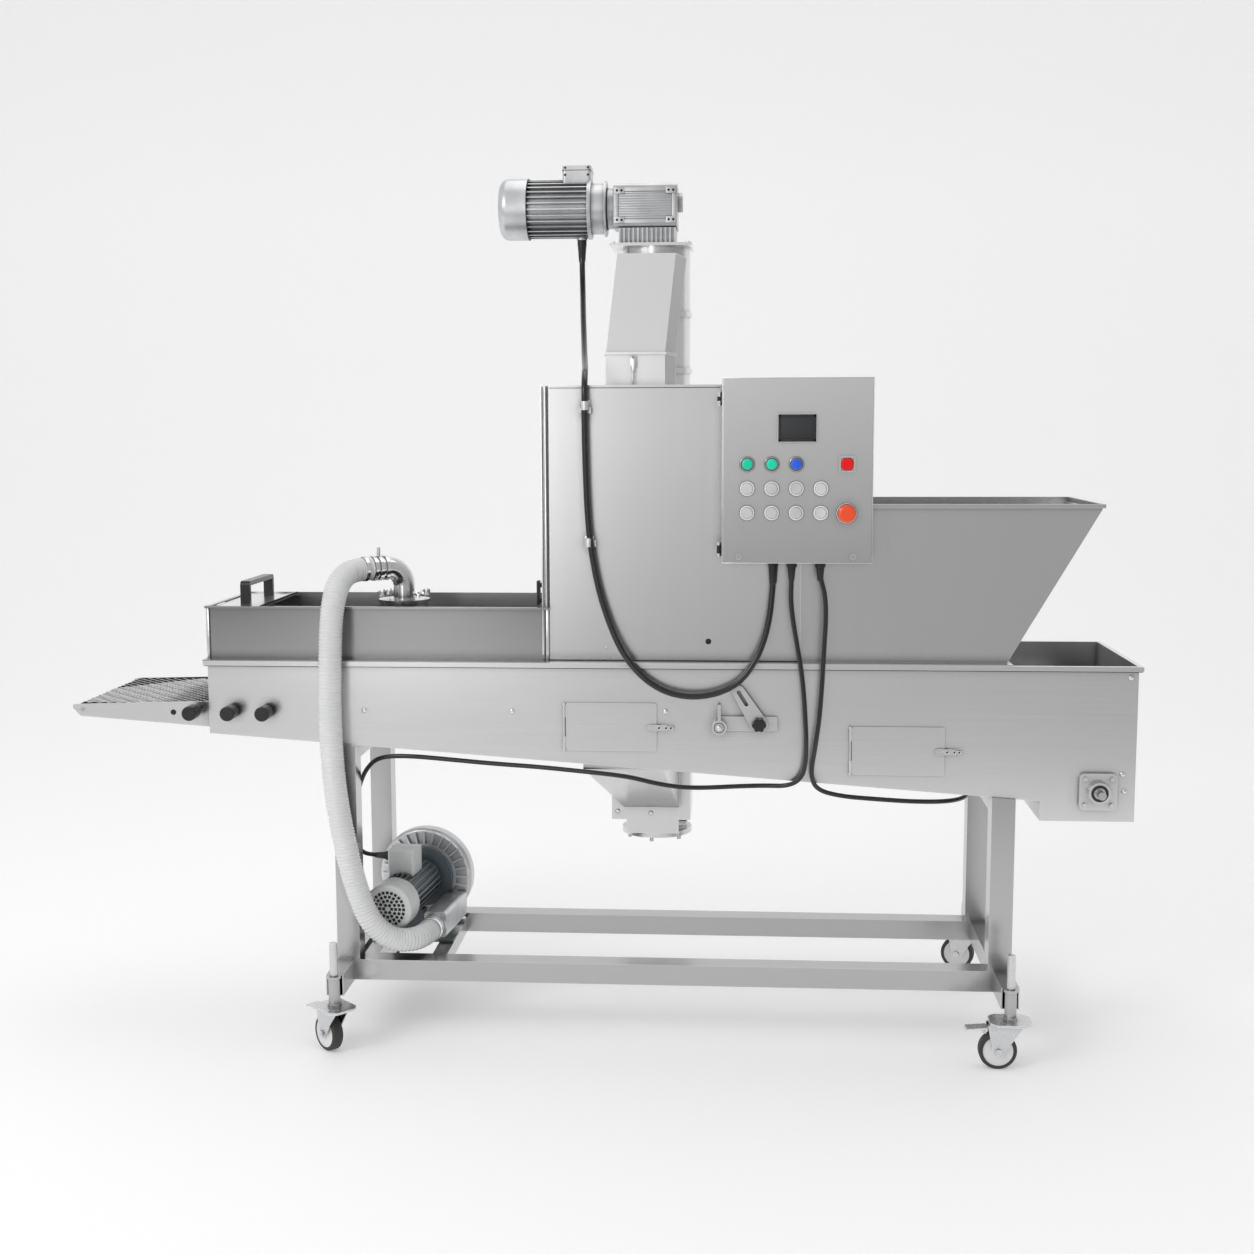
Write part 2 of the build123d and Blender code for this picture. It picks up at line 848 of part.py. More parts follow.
def conveyor_frame():
    tip = cheek_tip_x
    top_z = belt_top_z + cheek_top_rise
    outline = [(tip, nose_z + 13), (tip + 14, belt_top_z - 2), (trough_left_x, top_z),
               (cheek_inner_end_x, top_z),
               (cheek_inner_end_x, top_z - cheek_depth), (trough_left_x, top_z - cheek_depth),
               (tip + 20, nose_z - 17), (tip, nose_z + 4)]
    front = side_prism(outline, -cheek_y, -cheek_y + cheek_thickness)
    bore_r = nose_journal_r + journal_clearance
    front -= rod_y(nose_x, nose_z, -cheek_y - 1, -cheek_y + cheek_thickness + 1, bore_r)
    rear = mirror(front, Plane.XZ)
    front += knob_stud(knob_x[0], -cheek_y)
    inner = cheek_y - cheek_thickness
    half = belt_width / 2
    bar_top = bed_top_z - bed_thickness
    shape = front + rear + block(bed_start_x, bed_end_x, -half, half, bar_top, bed_top_z)
    for x in (bed_start_x + bed_bar_inset, trough_left_x - bed_bar_inset):
        shape += block(x, x + cross_bar_width, -inner, inner, bar_top - cross_bar_height, bar_top)
    x = cheek_inner_end_x - cross_bar_width
    while x < bed_end_x:
        reach = trough_width / 2 - sheet
        if x < cheek_inner_end_x:
            reach = inner
        shape += block(x, x + cross_bar_width, -reach, reach, bar_top - cross_bar_height, bar_top)
        x += cross_bar_pitch
    reach = trough_width / 2 - sheet
    tail_bar_r = tail_r - belt_clearance
    tail = rod_y(tail_x, tail_z, -half, half, tail_bar_r)
    tail += rod_y(tail_x, tail_z, -reach, reach, tail_bar_r / 2)
    return shape + tail + block(bed_end_x - 4, tail_x, -half, half, bar_top, bed_top_z)


def mesh_belt():
    half = belt_width / 2
    loops = [(nose_x, nose_z, nose_roller_r), (tail_x, tail_z, tail_r), (drive_x, drive_z, drive_r)]
    outer = [(x, z, r + belt_thickness) for x, z, r in loops]
    return hull_plate(outer, -half, half) - hull_plate(loops, -half - 1, half + 1)


def drive_roller():
    bearing_face_y = trough_front_y - bearing_depth
    rear = trough_rear_y + belt_gear_standoff + belt_gear_depth + 12
    body = rod_y(drive_x, drive_z, -belt_width / 2, belt_width / 2, drive_r - belt_clearance)
    shaft = rod_y(drive_x, drive_z, bearing_face_y, rear, drive_shaft_r)
    stub_end_y = bearing_face_y - drive_shaft_stub
    return body + shaft + rod_y(drive_x, drive_z, stub_end_y, bearing_face_y, drive_stub_r)


def nose_roller():
    body = rod_y(nose_x, nose_z, -belt_width / 2, belt_width / 2, nose_roller_r - belt_clearance)
    return body + rod_y(nose_x, nose_z, -cheek_y - 1, cheek_y + 1, nose_journal_r)


def flange_bearing():
    half = bearing_flange / 2
    plate = block(drive_x - half, drive_x + half, trough_front_y - bearing_flange_thickness, trough_front_y,
                  drive_z - half, drive_z + half)
    plate = fillet(plate.edges().filter_by(Axis.Y), bearing_corner_r)
    front_y = trough_front_y - bearing_depth
    plate += rod_y(drive_x, drive_z, front_y, trough_front_y, bearing_ring_r)
    half_pitch = bearing_bolt_pitch / 2
    for dx in (-half_pitch, half_pitch):
        for dz in (-half_pitch, half_pitch):
            y1 = trough_front_y - bearing_flange_thickness
            plate += rod_y(drive_x + dx, drive_z + dz, y1 - bearing_bolt_height, y1, bearing_bolt_r)
    return plate - rod_y(drive_x, drive_z, front_y - 1, trough_front_y + 1, drive_shaft_r + journal_clearance)


def belt_gearmotor():
    half = belt_gear_size / 2
    y0 = trough_rear_y
    y1 = belt_box_y1
    body = block(drive_x - half, drive_x + half, y0 + belt_gear_standoff, y1, drive_z - half, drive_z + half)
    body = fillet(body.edges().filter_by(Axis.Y), 10)
    body += rod_y(drive_x, drive_z, y0, y1 + 6, half - 8)
    axis_y = y1 - belt_gear_depth / 2
    left = drive_x - half - belt_motor_length
    motor = rod_x(axis_y, drive_z, left, drive_x - half, belt_motor_r)
    motor = fillet(motor.faces().sort_by(Axis.X)[0].edges(), 14)
    body += motor
    body += block(left + 60, left + 130, y1 - 20, y1 + 50, drive_z - 36, drive_z + 36)
    return body - rod_y(drive_x, drive_z, y0 - 1, y1 + 20, drive_shaft_r + journal_clearance)


def deck_ring(x0, x1, front_y, rear_y, left_reach, right_reach):
    shape = block(x0 - left_reach, x1 + right_reach, -deck_reach, deck_reach, rim_z, deck_z)
    return shape - block(x0 + sheet, x1 - sheet, front_y + sheet, rear_y - sheet, rim_z - 1, deck_z + 1)


def air_box():
    x1 = housing_left_x
    walls = block(box_left_x, x1, box_front_y, box_back_y, deck_z, box_rim_z)
    walls += block(box_left_x - box_rim_flange, x1, box_front_y - box_rim_flange, box_back_y + box_rim_flange,
                   box_rim_z - box_rim_thickness, box_rim_z)
    y0, y1 = box_front_y + sheet, box_back_y - sheet
    walls -= block(box_left_x + sheet, x1 - sheet, y0, y1, deck_z - 1, box_rim_z + 1)
    walls += deck_ring(box_left_x, x1, box_front_y, box_back_y, rim_flange - 2, 0)
    walls += rod_y(lid_axis_x, lid_axis_z, hinge_y0 - 1, hinge_y1 + 1, hatch_pin_r)
    ledge_z = lid_axis_z - lid_thickness / 2 - lid_seat_gap
    ledge_x1 = lid_right_x + 2
    for a, b in ((hinge_y0, hinge_y0 + lid_ledge_depth), (hinge_y1 - lid_ledge_depth, hinge_y1)):
        walls += block(ledge_x1 - lid_ledge_length, ledge_x1, a, b, ledge_z - sheet, ledge_z)
    return walls


def air_lid():
    z0 = lid_axis_z - lid_thickness / 2
    y0 = hinge_y0 + lid_gap
    y1 = hinge_y1 - lid_gap
    plate = block(lid_axis_x + lid_hinge_r + 1, lid_right_x, y0, y1, z0, z0 + lid_thickness)
    plate += block(lid_right_x - lid_thickness, lid_right_x, y0, y1, z0, z0 + lid_lip)
    start = lid_knuckle_inset
    end = lid_knuckle_inset + lid_knuckle_length
    for a, b in ((y0 + start, y0 + end), (y1 - end, y1 - start)):
        plate += rod_y(lid_axis_x, lid_axis_z, a, b, lid_hinge_r)
        plate += block(lid_axis_x, lid_axis_x + lid_hinge_r + 2, a, b, z0, z0 + lid_thickness)
        plate -= rod_y(lid_axis_x, lid_axis_z, a - 1, b + 1, hatch_pin_r + stud_clearance)
    return plate


def lid_handle():
    y0 = handle_center_y - handle_length / 2
    y1 = handle_center_y + handle_length / 2
    z0 = lid_axis_z + lid_thickness / 2
    z1 = z0 + handle_height
    x0 = handle_x - handle_bar / 2
    bar = block(x0, x0 + handle_bar, y0, y1, z0, z1)
    bar = fillet(bar.edges().filter_by(Axis.X).group_by(Axis.Z)[-1], handle_thickness)
    bar -= block(x0 - 1, x0 + handle_bar + 1, y0 + handle_thickness, y1 - handle_thickness, z0 - 1,
                 z1 - handle_thickness)
    return bar


def duct_body(r, slot_half, y0, y1, z_drop, top_z):
    x0, x1 = duct_x - slot_half, duct_x + slot_half
    slot = make_face(Polyline((x0, y0), (x1, y0), (x1, y1), (x0, y1), close=True))
    low = Pos(0, 0, duct_slot_z - z_drop) * slot
    high = Pos(duct_x, duct_y, duct_throat_z) * Circle(r)
    return loft([low.faces()[0], high.faces()[0]]) + rod_z(duct_x, duct_y, duct_throat_z, top_z, r)


def elbow_direction():
    return cos(radians(elbow_heading)), sin(radians(elbow_heading))


def elbow_point(distance, z):
    dx, dy = elbow_direction()
    return duct_x + dx * distance, duct_y + dy * distance, z


def elbow_path():
    return FilletPolyline((duct_x, duct_y, duct_top_z), elbow_point(0, elbow_z),
                          elbow_point(elbow_total, elbow_z), radius=elbow_bend_r)


def clamp_band(distance, r, width):
    frame = Plane(origin=elbow_point(distance, elbow_z), z_dir=(*elbow_direction(), 0))
    ring = Circle(r) - Circle(pipe_r - duct_fit)
    return extrude(frame * ring, width)


def air_duct():
    inset = duct_wall
    drum_r = duct_drum_r - duct_flange_lap
    body = duct_body(drum_r, duct_slot_width / 2, hinge_y0, hinge_y1, 0, duct_top_z)
    body += rod_z(duct_x, duct_y, duct_top_z - flange_thickness, duct_top_z, duct_drum_r)
    body -= duct_body(drum_r - inset, duct_slot_width / 2 - inset, hinge_y0 + inset, hinge_y1 - inset, 0.01,
                      duct_top_z - flange_thickness)
    body -= rod_z(duct_x, duct_y, duct_throat_z, duct_top_z + 1, pipe_r - pipe_wall)
    path = elbow_path()
    start = Plane(origin=path @ 0, z_dir=path % 0)
    body += sweep(start * Circle(pipe_r), path=path) - sweep(start * Circle(pipe_r - pipe_wall), path=path)
    for distance in (elbow_bend_r + 2, elbow_bend_r + 20, elbow_total - 12):
        body += clamp_band(distance, clamp_r, clamp_width)
    bolt = elbow_point(elbow_bend_r + 24, elbow_z + clamp_r - 2)
    return body + rod_z(bolt[0], bolt[1], bolt[2], bolt[2] + clamp_bolt_rise, clamp_bolt_r)


def housing():
    x0, x1 = housing_left_x, housing_right_x
    half = housing_half_depth
    shape = block(x0, x1, -half, half, deck_z, housing_top_z)
    for a, b in ((-half + side_post_inset, -half + side_post_inset + side_post_width),
                 (half - side_post_inset - side_post_width, half - side_post_inset)):
        shape += block(x0 - side_post_width, x0, a, b, box_rim_z + 0.3, housing_top_z)
    shape -= block(x0 + sheet, x1 - sheet, -half + sheet, half - sheet, deck_z - 1, housing_top_z - sheet)
    shape += deck_ring(x0, x1, -half, half, 0, 0)
    inlet = chute_plan(chute_front_y + 6, chute_back_y - 6, chute_left_x + 6, chute_right_x - 6)
    return shape - plan_prism(inlet, housing_top_z - sheet - 1, housing_top_z + 1)


def chute_plan(y0, y1, x0, x1):
    return [(x0, y0), (x1, y0), (x1 + chute_flare, y1), (x0 - chute_flare / 2, y1)]


def hopper():
    half = housing_half_depth
    x0 = housing_right_x
    outline = [(x0, deck_z), (hopper_foot_x, deck_z), (hopper_rim_x, hopper_rim_z - hopper_rim_drop),
               (hopper_rim_x, hopper_rim_z), (x0, hopper_rim_z)]
    slope = (hopper_rim_x - hopper_foot_x) / (hopper_rim_z - hopper_rim_drop - deck_z)
    skin = sheet * hypot(1, slope)
    cavity = [(x0 + sheet, deck_z - 1), (hopper_foot_x - skin - slope, deck_z - 1),
              (hopper_rim_x - skin, hopper_rim_z - hopper_rim_drop),
              (hopper_rim_x - skin, hopper_rim_z + 1), (x0 + sheet, hopper_rim_z + 1)]
    shape = side_prism(outline, -half, half)
    shape += block(x0, hopper_rim_x + hopper_flange, -half - hopper_flange, half + hopper_flange,
                   hopper_rim_z - hopper_flange_thickness, hopper_rim_z)
    shape -= side_prism(cavity, -half + sheet, half - sheet)
    ring = deck_ring(x0, hopper_foot_x, -half, half, 0, rim_flange)
    return shape + (ring - side_prism(cavity, -half + sheet, half - sheet))


def auger_tube():
    return rod_z(auger_x, auger_y, casing_bottom_z, casing_top_z, casing_r)


def chute_solid(inset):
    x0, x1 = chute_left_x + inset, chute_right_x - inset
    lower = chute_plan(chute_front_y + inset, chute_back_y - inset, x0, x1)
    top_front, top_back = chute_top_front_y + inset, chute_top_back_y - inset
    upper = chute_plan(top_front, top_back, x0 + chute_shift, x1 + chute_shift)
    low_face = Pos(0, 0, chute_collar_z) * make_face(Polyline(*lower, close=True))
    high_face = Pos(0, 0, chute_top_z - inset) * make_face(Polyline(*upper, close=True))
    slant = loft([low_face.faces()[0], high_face.faces()[0]])
    return plan_prism(lower, housing_top_z - inset, chute_collar_z) + slant


def chute():
    shape = chute_solid(0)
    collar = chute_plan(chute_front_y - 4, chute_back_y + 2, chute_left_x - 4, chute_right_x + 4)
    shape += plan_prism(collar, chute_collar_z - 3, chute_collar_z + 3)
    shape -= chute_solid(chute_wall)
    band_half = joint_band_height / 2 + seat_gap
    for z in (joint_upper_z, joint_lower_z):
        shape -= rod_z(auger_x, auger_y, z - band_half, z + band_half, joint_band_r + seat_gap)
    return shape - auger_tube()


def funnel():
    front = trough_front_y
    end = auger_y - foot_half

    def section(y, x0, x1, z_high, z_low):
        plane = Plane(origin=(0, y, 0), x_dir=(1, 0, 0), z_dir=(0, -1, 0))
        outline = Polyline((x0, z_low), (x1, z_low), (x1, z_high), (x0, z_high), close=True)
        return plane * make_face(outline)

    def body(inset):
        lip = floor_z(funnel_top_left_x) - 14
        left, right = funnel_bottom_left_x + inset, funnel_bottom_right_x - inset
        first = section(front, funnel_top_left_x + inset, funnel_top_right_x - inset, 760, lip + inset)
        last = section(end, left, right, 760, funnel_end_z + inset)
        return loft([first.faces()[0], last.faces()[0]])

    x0, x1 = funnel_top_left_x - 60, funnel_top_right_x + 90
    above = side_prism([(x0, floor_z(x0)), (x1, floor_z(x1)), (x1, 900), (x0, 900)], front - 2, auger_y)
    cavity = body(sheet) - block(x0, x1, front - 1, front + sheet, 0, 900)
    return body(0) - above - cavity


def auger_casing():
    tube = auger_tube()
    for z in (joint_upper_z, joint_lower_z):
        tube += rod_z(auger_x, auger_y, z - joint_band_height / 2, z + joint_band_height / 2, joint_band_r)
    tube += plan_prism([(top_plate_left_x, auger_y - foot_half), (top_plate_right_x, auger_y - foot_half),
                        (top_plate_right_x, auger_y + foot_half), (top_plate_left_x, auger_y + foot_half)],
                       casing_top_z, top_plate_z)
    x0, x1 = auger_x - foot_half, auger_x + foot_half
    y0, y1 = auger_y - foot_half, auger_y + foot_half
    tube += block(x0, x1, y0, y1, foot_bottom_z, casing_bottom_z)
    apron = [(foot_apron_left_x, foot_bottom_z), (x1, foot_bottom_z), (x1, casing_bottom_z - 40),
             (foot_apron_left_x, casing_bottom_z - 40)]
    tube += side_prism(apron, y0, y0 + sheet)
    tongue = foot_apron_tongue / 2
    tube += block(auger_x - tongue - 8, auger_x + tongue - 8, y0, y0 + sheet, foot_ring_top_z, foot_bottom_z)
    tube += rod_z(auger_x, auger_y, foot_ring_top_z, foot_bottom_z, foot_neck_r)
    tube += rod_z(auger_x, auger_y, foot_ring_top_z - foot_ring_thickness, foot_ring_top_z, foot_ring_r)
    for turn in range(6):
        angle = radians(60 * turn + 22)
        x = auger_x + foot_stud_circle_r * cos(angle)
        y = auger_y + foot_stud_circle_r * sin(angle)
        z0 = foot_ring_top_z - foot_ring_thickness
        tube += rod_z(x, y, z0 - foot_stud_length, z0, foot_stud_r)
    tube += funnel()
    bore_r = casing_r - casing_wall
    tube -= rod_z(auger_x, auger_y, foot_ring_top_z + 6, casing_top_z, bore_r)
    tube -= rod_z(auger_x, auger_y, foot_ring_top_z - foot_ring_thickness - 1, top_plate_z + 1,
                  screw_shaft_r + screw_shaft_clearance)
    mouth_left, mouth_right = funnel_bottom_left_x + sheet, funnel_bottom_right_x - sheet
    tube -= block(mouth_left, mouth_right, y0 - 1, auger_y, funnel_end_z + sheet,
                  funnel_end_z + funnel_mouth_height)
    half = outlet_width / 2
    top = chute_top_z - outlet_drop
    front = auger_y - casing_r - 1
    return tube - block(auger_x - half, auger_x + half, front, auger_y, top - outlet_height, top)


# One helical flight of even thickness, a sector of a disc that turns as it climbs
def screw_flight(height):
    root = screw_shaft_r - flight_root_lap
    half = 180 * flight_thickness / flight_pitch
    corners = ((root, -half), (flight_r, -half), (flight_r, half), (root, half))
    edges = [(r * cos(radians(a)), r * sin(radians(a))) for r, a in corners]
    rim = ThreePointArc(edges[1], (flight_r, 0), edges[2])
    sector = make_face([Line(edges[0], edges[1]), rim, Line(edges[2], edges[3]), Line(edges[3], edges[0])])
    turn = 360 * height / flight_pitch
    return Solid.extrude_linear_with_rotation(sector.faces()[0], (0, 0, 0), (0, 0, height), turn)


def auger_screw():
    z0 = foot_ring_top_z - foot_ring_thickness - screw_drop
    flight_z0 = foot_ring_top_z + flight_start_gap
    flight_z1 = chute_top_z - flight_end_drop
    shaft = rod_z(auger_x, auger_y, z0, top_plate_z + screw_rise, screw_shaft_r)
    return shaft + Pos(auger_x, auger_y, flight_z0) * screw_flight(flight_z1 - flight_z0)


# Rings of square holes in the end of a fan cover, cut along Z from z0 to z1
def grille_holes(z0, z1):
    holes = []
    for ring in range(grille_rings):
        r = grille_ring_pitch * (ring + 1)
        count = int(2 * pi * r / grille_hole_pitch)
        for step in range(count):
            hole = Pos(r, 0, (z0 + z1) / 2) * Box(grille_hole, grille_hole, z1 - z0)
            holes.append(Rot(0, 0, 360 * step / count) * hole)
    return holes


# Cylinder with radial cooling fins, along Z from the origin
def finned_body(core_r, fin_r, count, thickness, length):
    profile = Circle(core_r)
    for turn in range(count):
        profile += Rot(0, 0, 360 * turn / count) * Pos(fin_r / 2, 0) * Rectangle(fin_r, thickness)
    return extrude(profile, length)


def gearbox():
    front = auger_y - gear_depth / 2
    rear = auger_y + gear_depth / 2
    inner_front, inner_rear = front + gear_rib_depth, rear - gear_rib_depth
    foot = block(gear_foot_left_x, gear_foot_right_x, inner_front, inner_rear, top_plate_z, gear_bottom_z)
    rib_count = int((gear_foot_right_x - gear_foot_left_x) / gear_rib_pitch)
    for step in range(rib_count + 1):
        x = gear_foot_left_x + step * (gear_foot_right_x - gear_foot_left_x - gear_rib_depth) / rib_count
        foot += block(x, x + gear_rib_depth, front, rear, top_plate_z, gear_bottom_z)
    body = block(gear_left_x, gear_right_x, front, rear, gear_bottom_z, gear_top_z)
    body = fillet(body.edges().filter_by(Axis.X), 14)
    body += foot
    cap_z = (gear_bottom_z + gear_top_z) / 2 + gear_cap_offset
    body += rod_x(auger_y, cap_z, gear_right_x, gear_right_x + gear_cap_length, gear_cap_r)
    socket_r = screw_shaft_r + screw_shaft_clearance
    return body - rod_z(auger_x, auger_y, top_plate_z - 1, top_plate_z + screw_rise + 1, socket_r)


def top_motor():
    turn = Pos(motor_left_x, auger_y, motor_axis_z) * Rot(0, 90, 0)
    length = motor_right_x - motor_left_x
    body = turn * finned_body(motor_r, motor_fin_r, motor_fin_count, motor_fin_thickness, length)
    bell_left = motor_right_x
    bell_right = bell_left + bell_length
    body += rod_x(auger_y, motor_axis_z, bell_left, bell_right, bell_r)
    body += rod_x(auger_y, motor_axis_z, bell_right, gear_left_x, motor_neck_r)
    cover = rod_x(auger_y, motor_axis_z, motor_left_x - fan_cover_length, motor_left_x, fan_cover_r)
    body += fillet(cover.faces().sort_by(Axis.X)[0].edges(), fan_cover_round)
    half = motor_terminal_width / 2
    x1 = motor_right_x + 4
    lid_z = motor_axis_z + motor_fin_r + motor_terminal_height
    base_z = motor_axis_z + motor_r - 6
    box = block(x1 - motor_terminal_length, x1, auger_y - half, auger_y + half, base_z, lid_z)
    body += fillet(box.edges().filter_by(Axis.Z), 8)
    return body + rod_z(top_gland[0], top_gland[1], top_gland[2], motor_axis_z - motor_r + 8, gland_r + 2)


# Blower, modelled about its own shaft along Y and turned into place
def at_blower(shape):
    return Pos(blower_x, blower_y, blower_z) * Rot(0, 0, -blower_turn) * shape


def blower_point(x, y, z):
    spot = Pos(blower_x, blower_y, blower_z) * Rot(0, 0, -blower_turn) * Pos(x, y, z)
    return tuple(spot.position)


def blower():
    ring = rod_y(0, 0, blower_fin_depth, blower_ring_width, blower_ring_r)
    ring = fillet(ring.edges().filter_by(GeomType.CIRCLE), blower_ring_round)
    ring += rod_y(0, 0, 0, blower_fin_depth, blower_core_r)
    half = blower_fin_thickness / 2
    fin = block(blower_core_r - 2, blower_ring_r - blower_fin_drop, 0, blower_fin_depth + 1, -half, half)
    for turn in range(blower_fin_count):
        ring += Rot(0, 360 * turn / blower_fin_count, 0) * fin
    ring += rod_y(0, 0, -blower_disc_length, 0, blower_disc_r)
    flat_z = rail_top_z + 1 - blower_z
    ring -= block(-200, 200, -40, 100, -200, flat_z)
    half = silencer_width / 2
    box = block(silencer_offset_x - half, silencer_offset_x + half, -silencer_length, 2,
                silencer_z - silencer_height / 2, silencer_z + silencer_height / 2)
    box = fillet(box.edges().filter_by(Axis.Y), 10)
    ring += box
    front = -silencer_length
    ring += rod_y(silencer_offset_x, silencer_z, front - coupling_length, front, hose_tail_r)
    ring += rod_y(silencer_offset_x, silencer_z, front - hose_stop_length, front, hose_r)
    foot = block(channel_left_x - channel_width, channel_right_x, blower_y + 10, blower_y + 34, channel_top_z,
                 rail_top_z + 1)
    return at_blower(ring) + foot


def blower_motor():
    start = -blower_disc_length
    neck = blower_neck_length
    body = rod_y(0, 0, start - neck, start, blower_motor_r - 3)
    fin_start = start - neck - blower_motor_length
    fins = finned_body(blower_motor_r, blower_motor_fin_r, 26, 3, blower_motor_length)
    body += Pos(0, fin_start, 0) * Rot(-90, 0, 0) * fins
    end_y = fin_start - blower_cover_length
    cover = rod_y(0, 0, end_y, fin_start, blower_cover_r)
    cover = fillet(cover.faces().sort_by(Axis.Y)[0].edges(), blower_cover_round)
    inside_y = end_y + blower_cover_wall
    cover -= rod_y(0, 0, inside_y, fin_start - 1, blower_cover_r - blower_cover_round)
    cover -= Rot(90, 0, 0) * Compound(children=grille_holes(-inside_y - 1, 1 - end_y))
    body += cover
    box = block(blower_box_x, blower_box_x + blower_box_width, blower_box_y, blower_box_y + blower_box_length,
                blower_box_z, blower_box_z + blower_box_height)
    body += fillet(box.edges().filter_by(Axis.Z), 6)
    foot_z = channel_top_z - blower_z
    body += block(-45, 45, -160, -128, foot_z + 6, -50)
    shape = at_blower(body)
    y0 = blower_y - 172
    x0 = channel_left_x - channel_width
    plate = block(x0, channel_right_x, y0, y0 + 52, channel_top_z, channel_top_z + 6)
    return shape + plate


# Control cabinet with its hinged door
def hinge_parts():
    return [(z - door_hinge_length / 2, z + door_hinge_length / 2) for z in door_hinges]


def cabinet():
    y0 = door_back_y + door_gap
    shell = block(cabinet_left_x, cabinet_right_x, y0, cabinet_back_y, cabinet_bottom_z, cabinet_top_z)
    inset = cabinet_wall
    shell -= block(cabinet_left_x + inset, cabinet_right_x - inset, y0 - 1, cabinet_back_y - inset,
                   cabinet_bottom_z + inset, cabinet_top_z - inset)
    for z in (cabinet_bottom_z + 50, cabinet_top_z - 60):
        for x in (cabinet_left_x + 40, housing_right_x - 40):
            shell += rod_y(x, z, cabinet_back_y, -housing_half_depth, 9)
    for z0, z1 in hinge_parts():
        third = (z1 - z0) / 3
        for a, b in ((z0, z0 + third), (z1 - third, z1)):
            shell += rod_z(door_axis_x, door_axis_y, a, b, door_hinge_r)
            shell += block(door_axis_x, cabinet_left_x + 1, y0 + 0.5, y0 + 5, a, b)
        shell += rod_z(door_axis_x, door_axis_y, z0, z1, hinge_pin_r)
    return shell


def plunger_hole(x, z, r):
    return rod_y(x, z, door_front_y - 20, door_back_y + 30, r)


def door():
    pan = block(cabinet_left_x, cabinet_right_x, door_front_y, door_back_y, cabinet_bottom_z, cabinet_top_z)
    pan = fillet(pan.edges().filter_by(Axis.Z).group_by(Axis.Y)[0], 3)
    pan -= block(cabinet_left_x + door_sheet, cabinet_right_x - door_sheet, door_front_y + door_sheet,
                 door_back_y + 1, cabinet_bottom_z + door_sheet, cabinet_top_z - door_sheet)
    for z0, z1 in hinge_parts():
        third = (z1 - z0) / 3
        a, b = z0 + third + hatch_gap, z1 - third - hatch_gap
        pan += rod_z(door_axis_x, door_axis_y, a, b, door_hinge_r)
        pan += block(door_axis_x, cabinet_left_x + 1, door_axis_y - 5, door_axis_y, a, b)
        pan -= rod_z(door_axis_x, door_axis_y, a - 1, b + 1, hinge_pin_r + stud_clearance)
    bezel_y = door_front_y - button_bezel_height
    sleeve_y = door_front_y + door_sheet + button_sleeve_length
    for x, z in round_buttons.values():
        pan += rod_y(x, z, bezel_y, sleeve_y, button_bezel_r)
        pan -= plunger_hole(x, z, button_cap_r + button_clearance)
    half = square_button / 2
    x, z = square_place
    pan += block(x - half - 3.5, x + half + 3.5, bezel_y, sleeve_y, z - half - 3.5, z + half + 3.5)
    gap = half + button_clearance
    pan -= block(x - gap, x + gap, bezel_y - 1, sleeve_y + 1, z - gap, z + gap)
    x, z = stop_place
    pan += rod_y(x, z, bezel_y, sleeve_y, button_bezel_r + 2)
    pan -= plunger_hole(x, z, stop_stem_r + button_clearance)
    for x, z in lamp_places:
        pan += rod_y(x, z, bezel_y, door_front_y + 1, button_bezel_r)
        pan -= rod_y(x, z, bezel_y - 1, door_front_y, lamp_r + button_clearance)
    frame = block(screen_left_x, screen_left_x + screen_width, door_front_y - screen_depth, door_front_y + 1,
                  screen_bottom_z, screen_bottom_z + screen_height)
    frame = fillet(frame.edges().filter_by(Axis.Y), 4)
    frame -= block(screen_left_x + 7, screen_left_x + screen_width - 7, door_front_y - screen_depth - 1,
                   door_front_y - 1.5, screen_bottom_z + 7, screen_bottom_z + screen_height - 7)
    pan += frame
    for x in (187, 465):
        pan += rod_y(x, cabinet_bottom_z + 16, door_front_y - 4, door_front_y + 1, 7)
    return pan


def button_ends():
    front = door_front_y - button_bezel_height - button_cap_height
    return front, door_front_y + door_sheet + button_sleeve_length


def round_button(x, z):
    front, back = button_ends()
    cap = rod_y(x, z, front, back, button_cap_r)
    return fillet(cap.faces().sort_by(Axis.Y)[0].edges(), 2)


def square_cap():
    front, back = button_ends()
    x, z = square_place
    half = square_button / 2
    cap = block(x - half, x + half, front, back, z - half, z + half)
    return fillet(cap.faces().sort_by(Axis.Y)[0].edges(), 1.5)


def stop_button():
    x, z = stop_place
    bezel_y = door_front_y - button_bezel_height
    back = bezel_y - stop_stroke - 1
    cap = rod_y(x, z, back - stop_cap_height, back, stop_cap_r)
    cap = fillet(cap.faces().sort_by(Axis.Y)[0].edges(), 7)
    return cap + rod_y(x, z, back, door_front_y + door_sheet + button_sleeve_length, stop_stem_r)


def pilot_lamps():
    lamps = []
    for x, z in lamp_places:
        dome = rod_y(x, z, door_front_y - 9, door_front_y, lamp_r)
        lamps.append(fillet(dome.faces().sort_by(Axis.Y)[0].edges(), 5))
    return lamps


# Gate adjuster right of the middle of the trough
def gate_bracket():
    z0 = gate_axis_z - gate_plate_height / 2
    z1 = z0 + gate_plate_height
    plate = block(gate_boss_x, gate_plate_right_x, gate_plate_front_y, trough_front_y, z0, z1)
    plate = fillet(plate.edges().filter_by(Axis.Y), 6)
    boss_front = gate_plate_front_y - 14
    plate += rod_y(gate_boss_x, gate_boss_z, boss_front, trough_front_y, gate_boss_r)
    half = gate_blade_thickness / 2
    top_z = gate_boss_z + gate_blade_height
    x0, x1 = gate_boss_x - half, gate_boss_x + half
    plate += block(x0, x1, boss_front, gate_plate_front_y - 4, gate_boss_z, top_z)
    plate += rod_y(gate_axis_x, gate_axis_z, lock_knob_back_y - 16, gate_plate_front_y, gate_stud_r)
    return plate


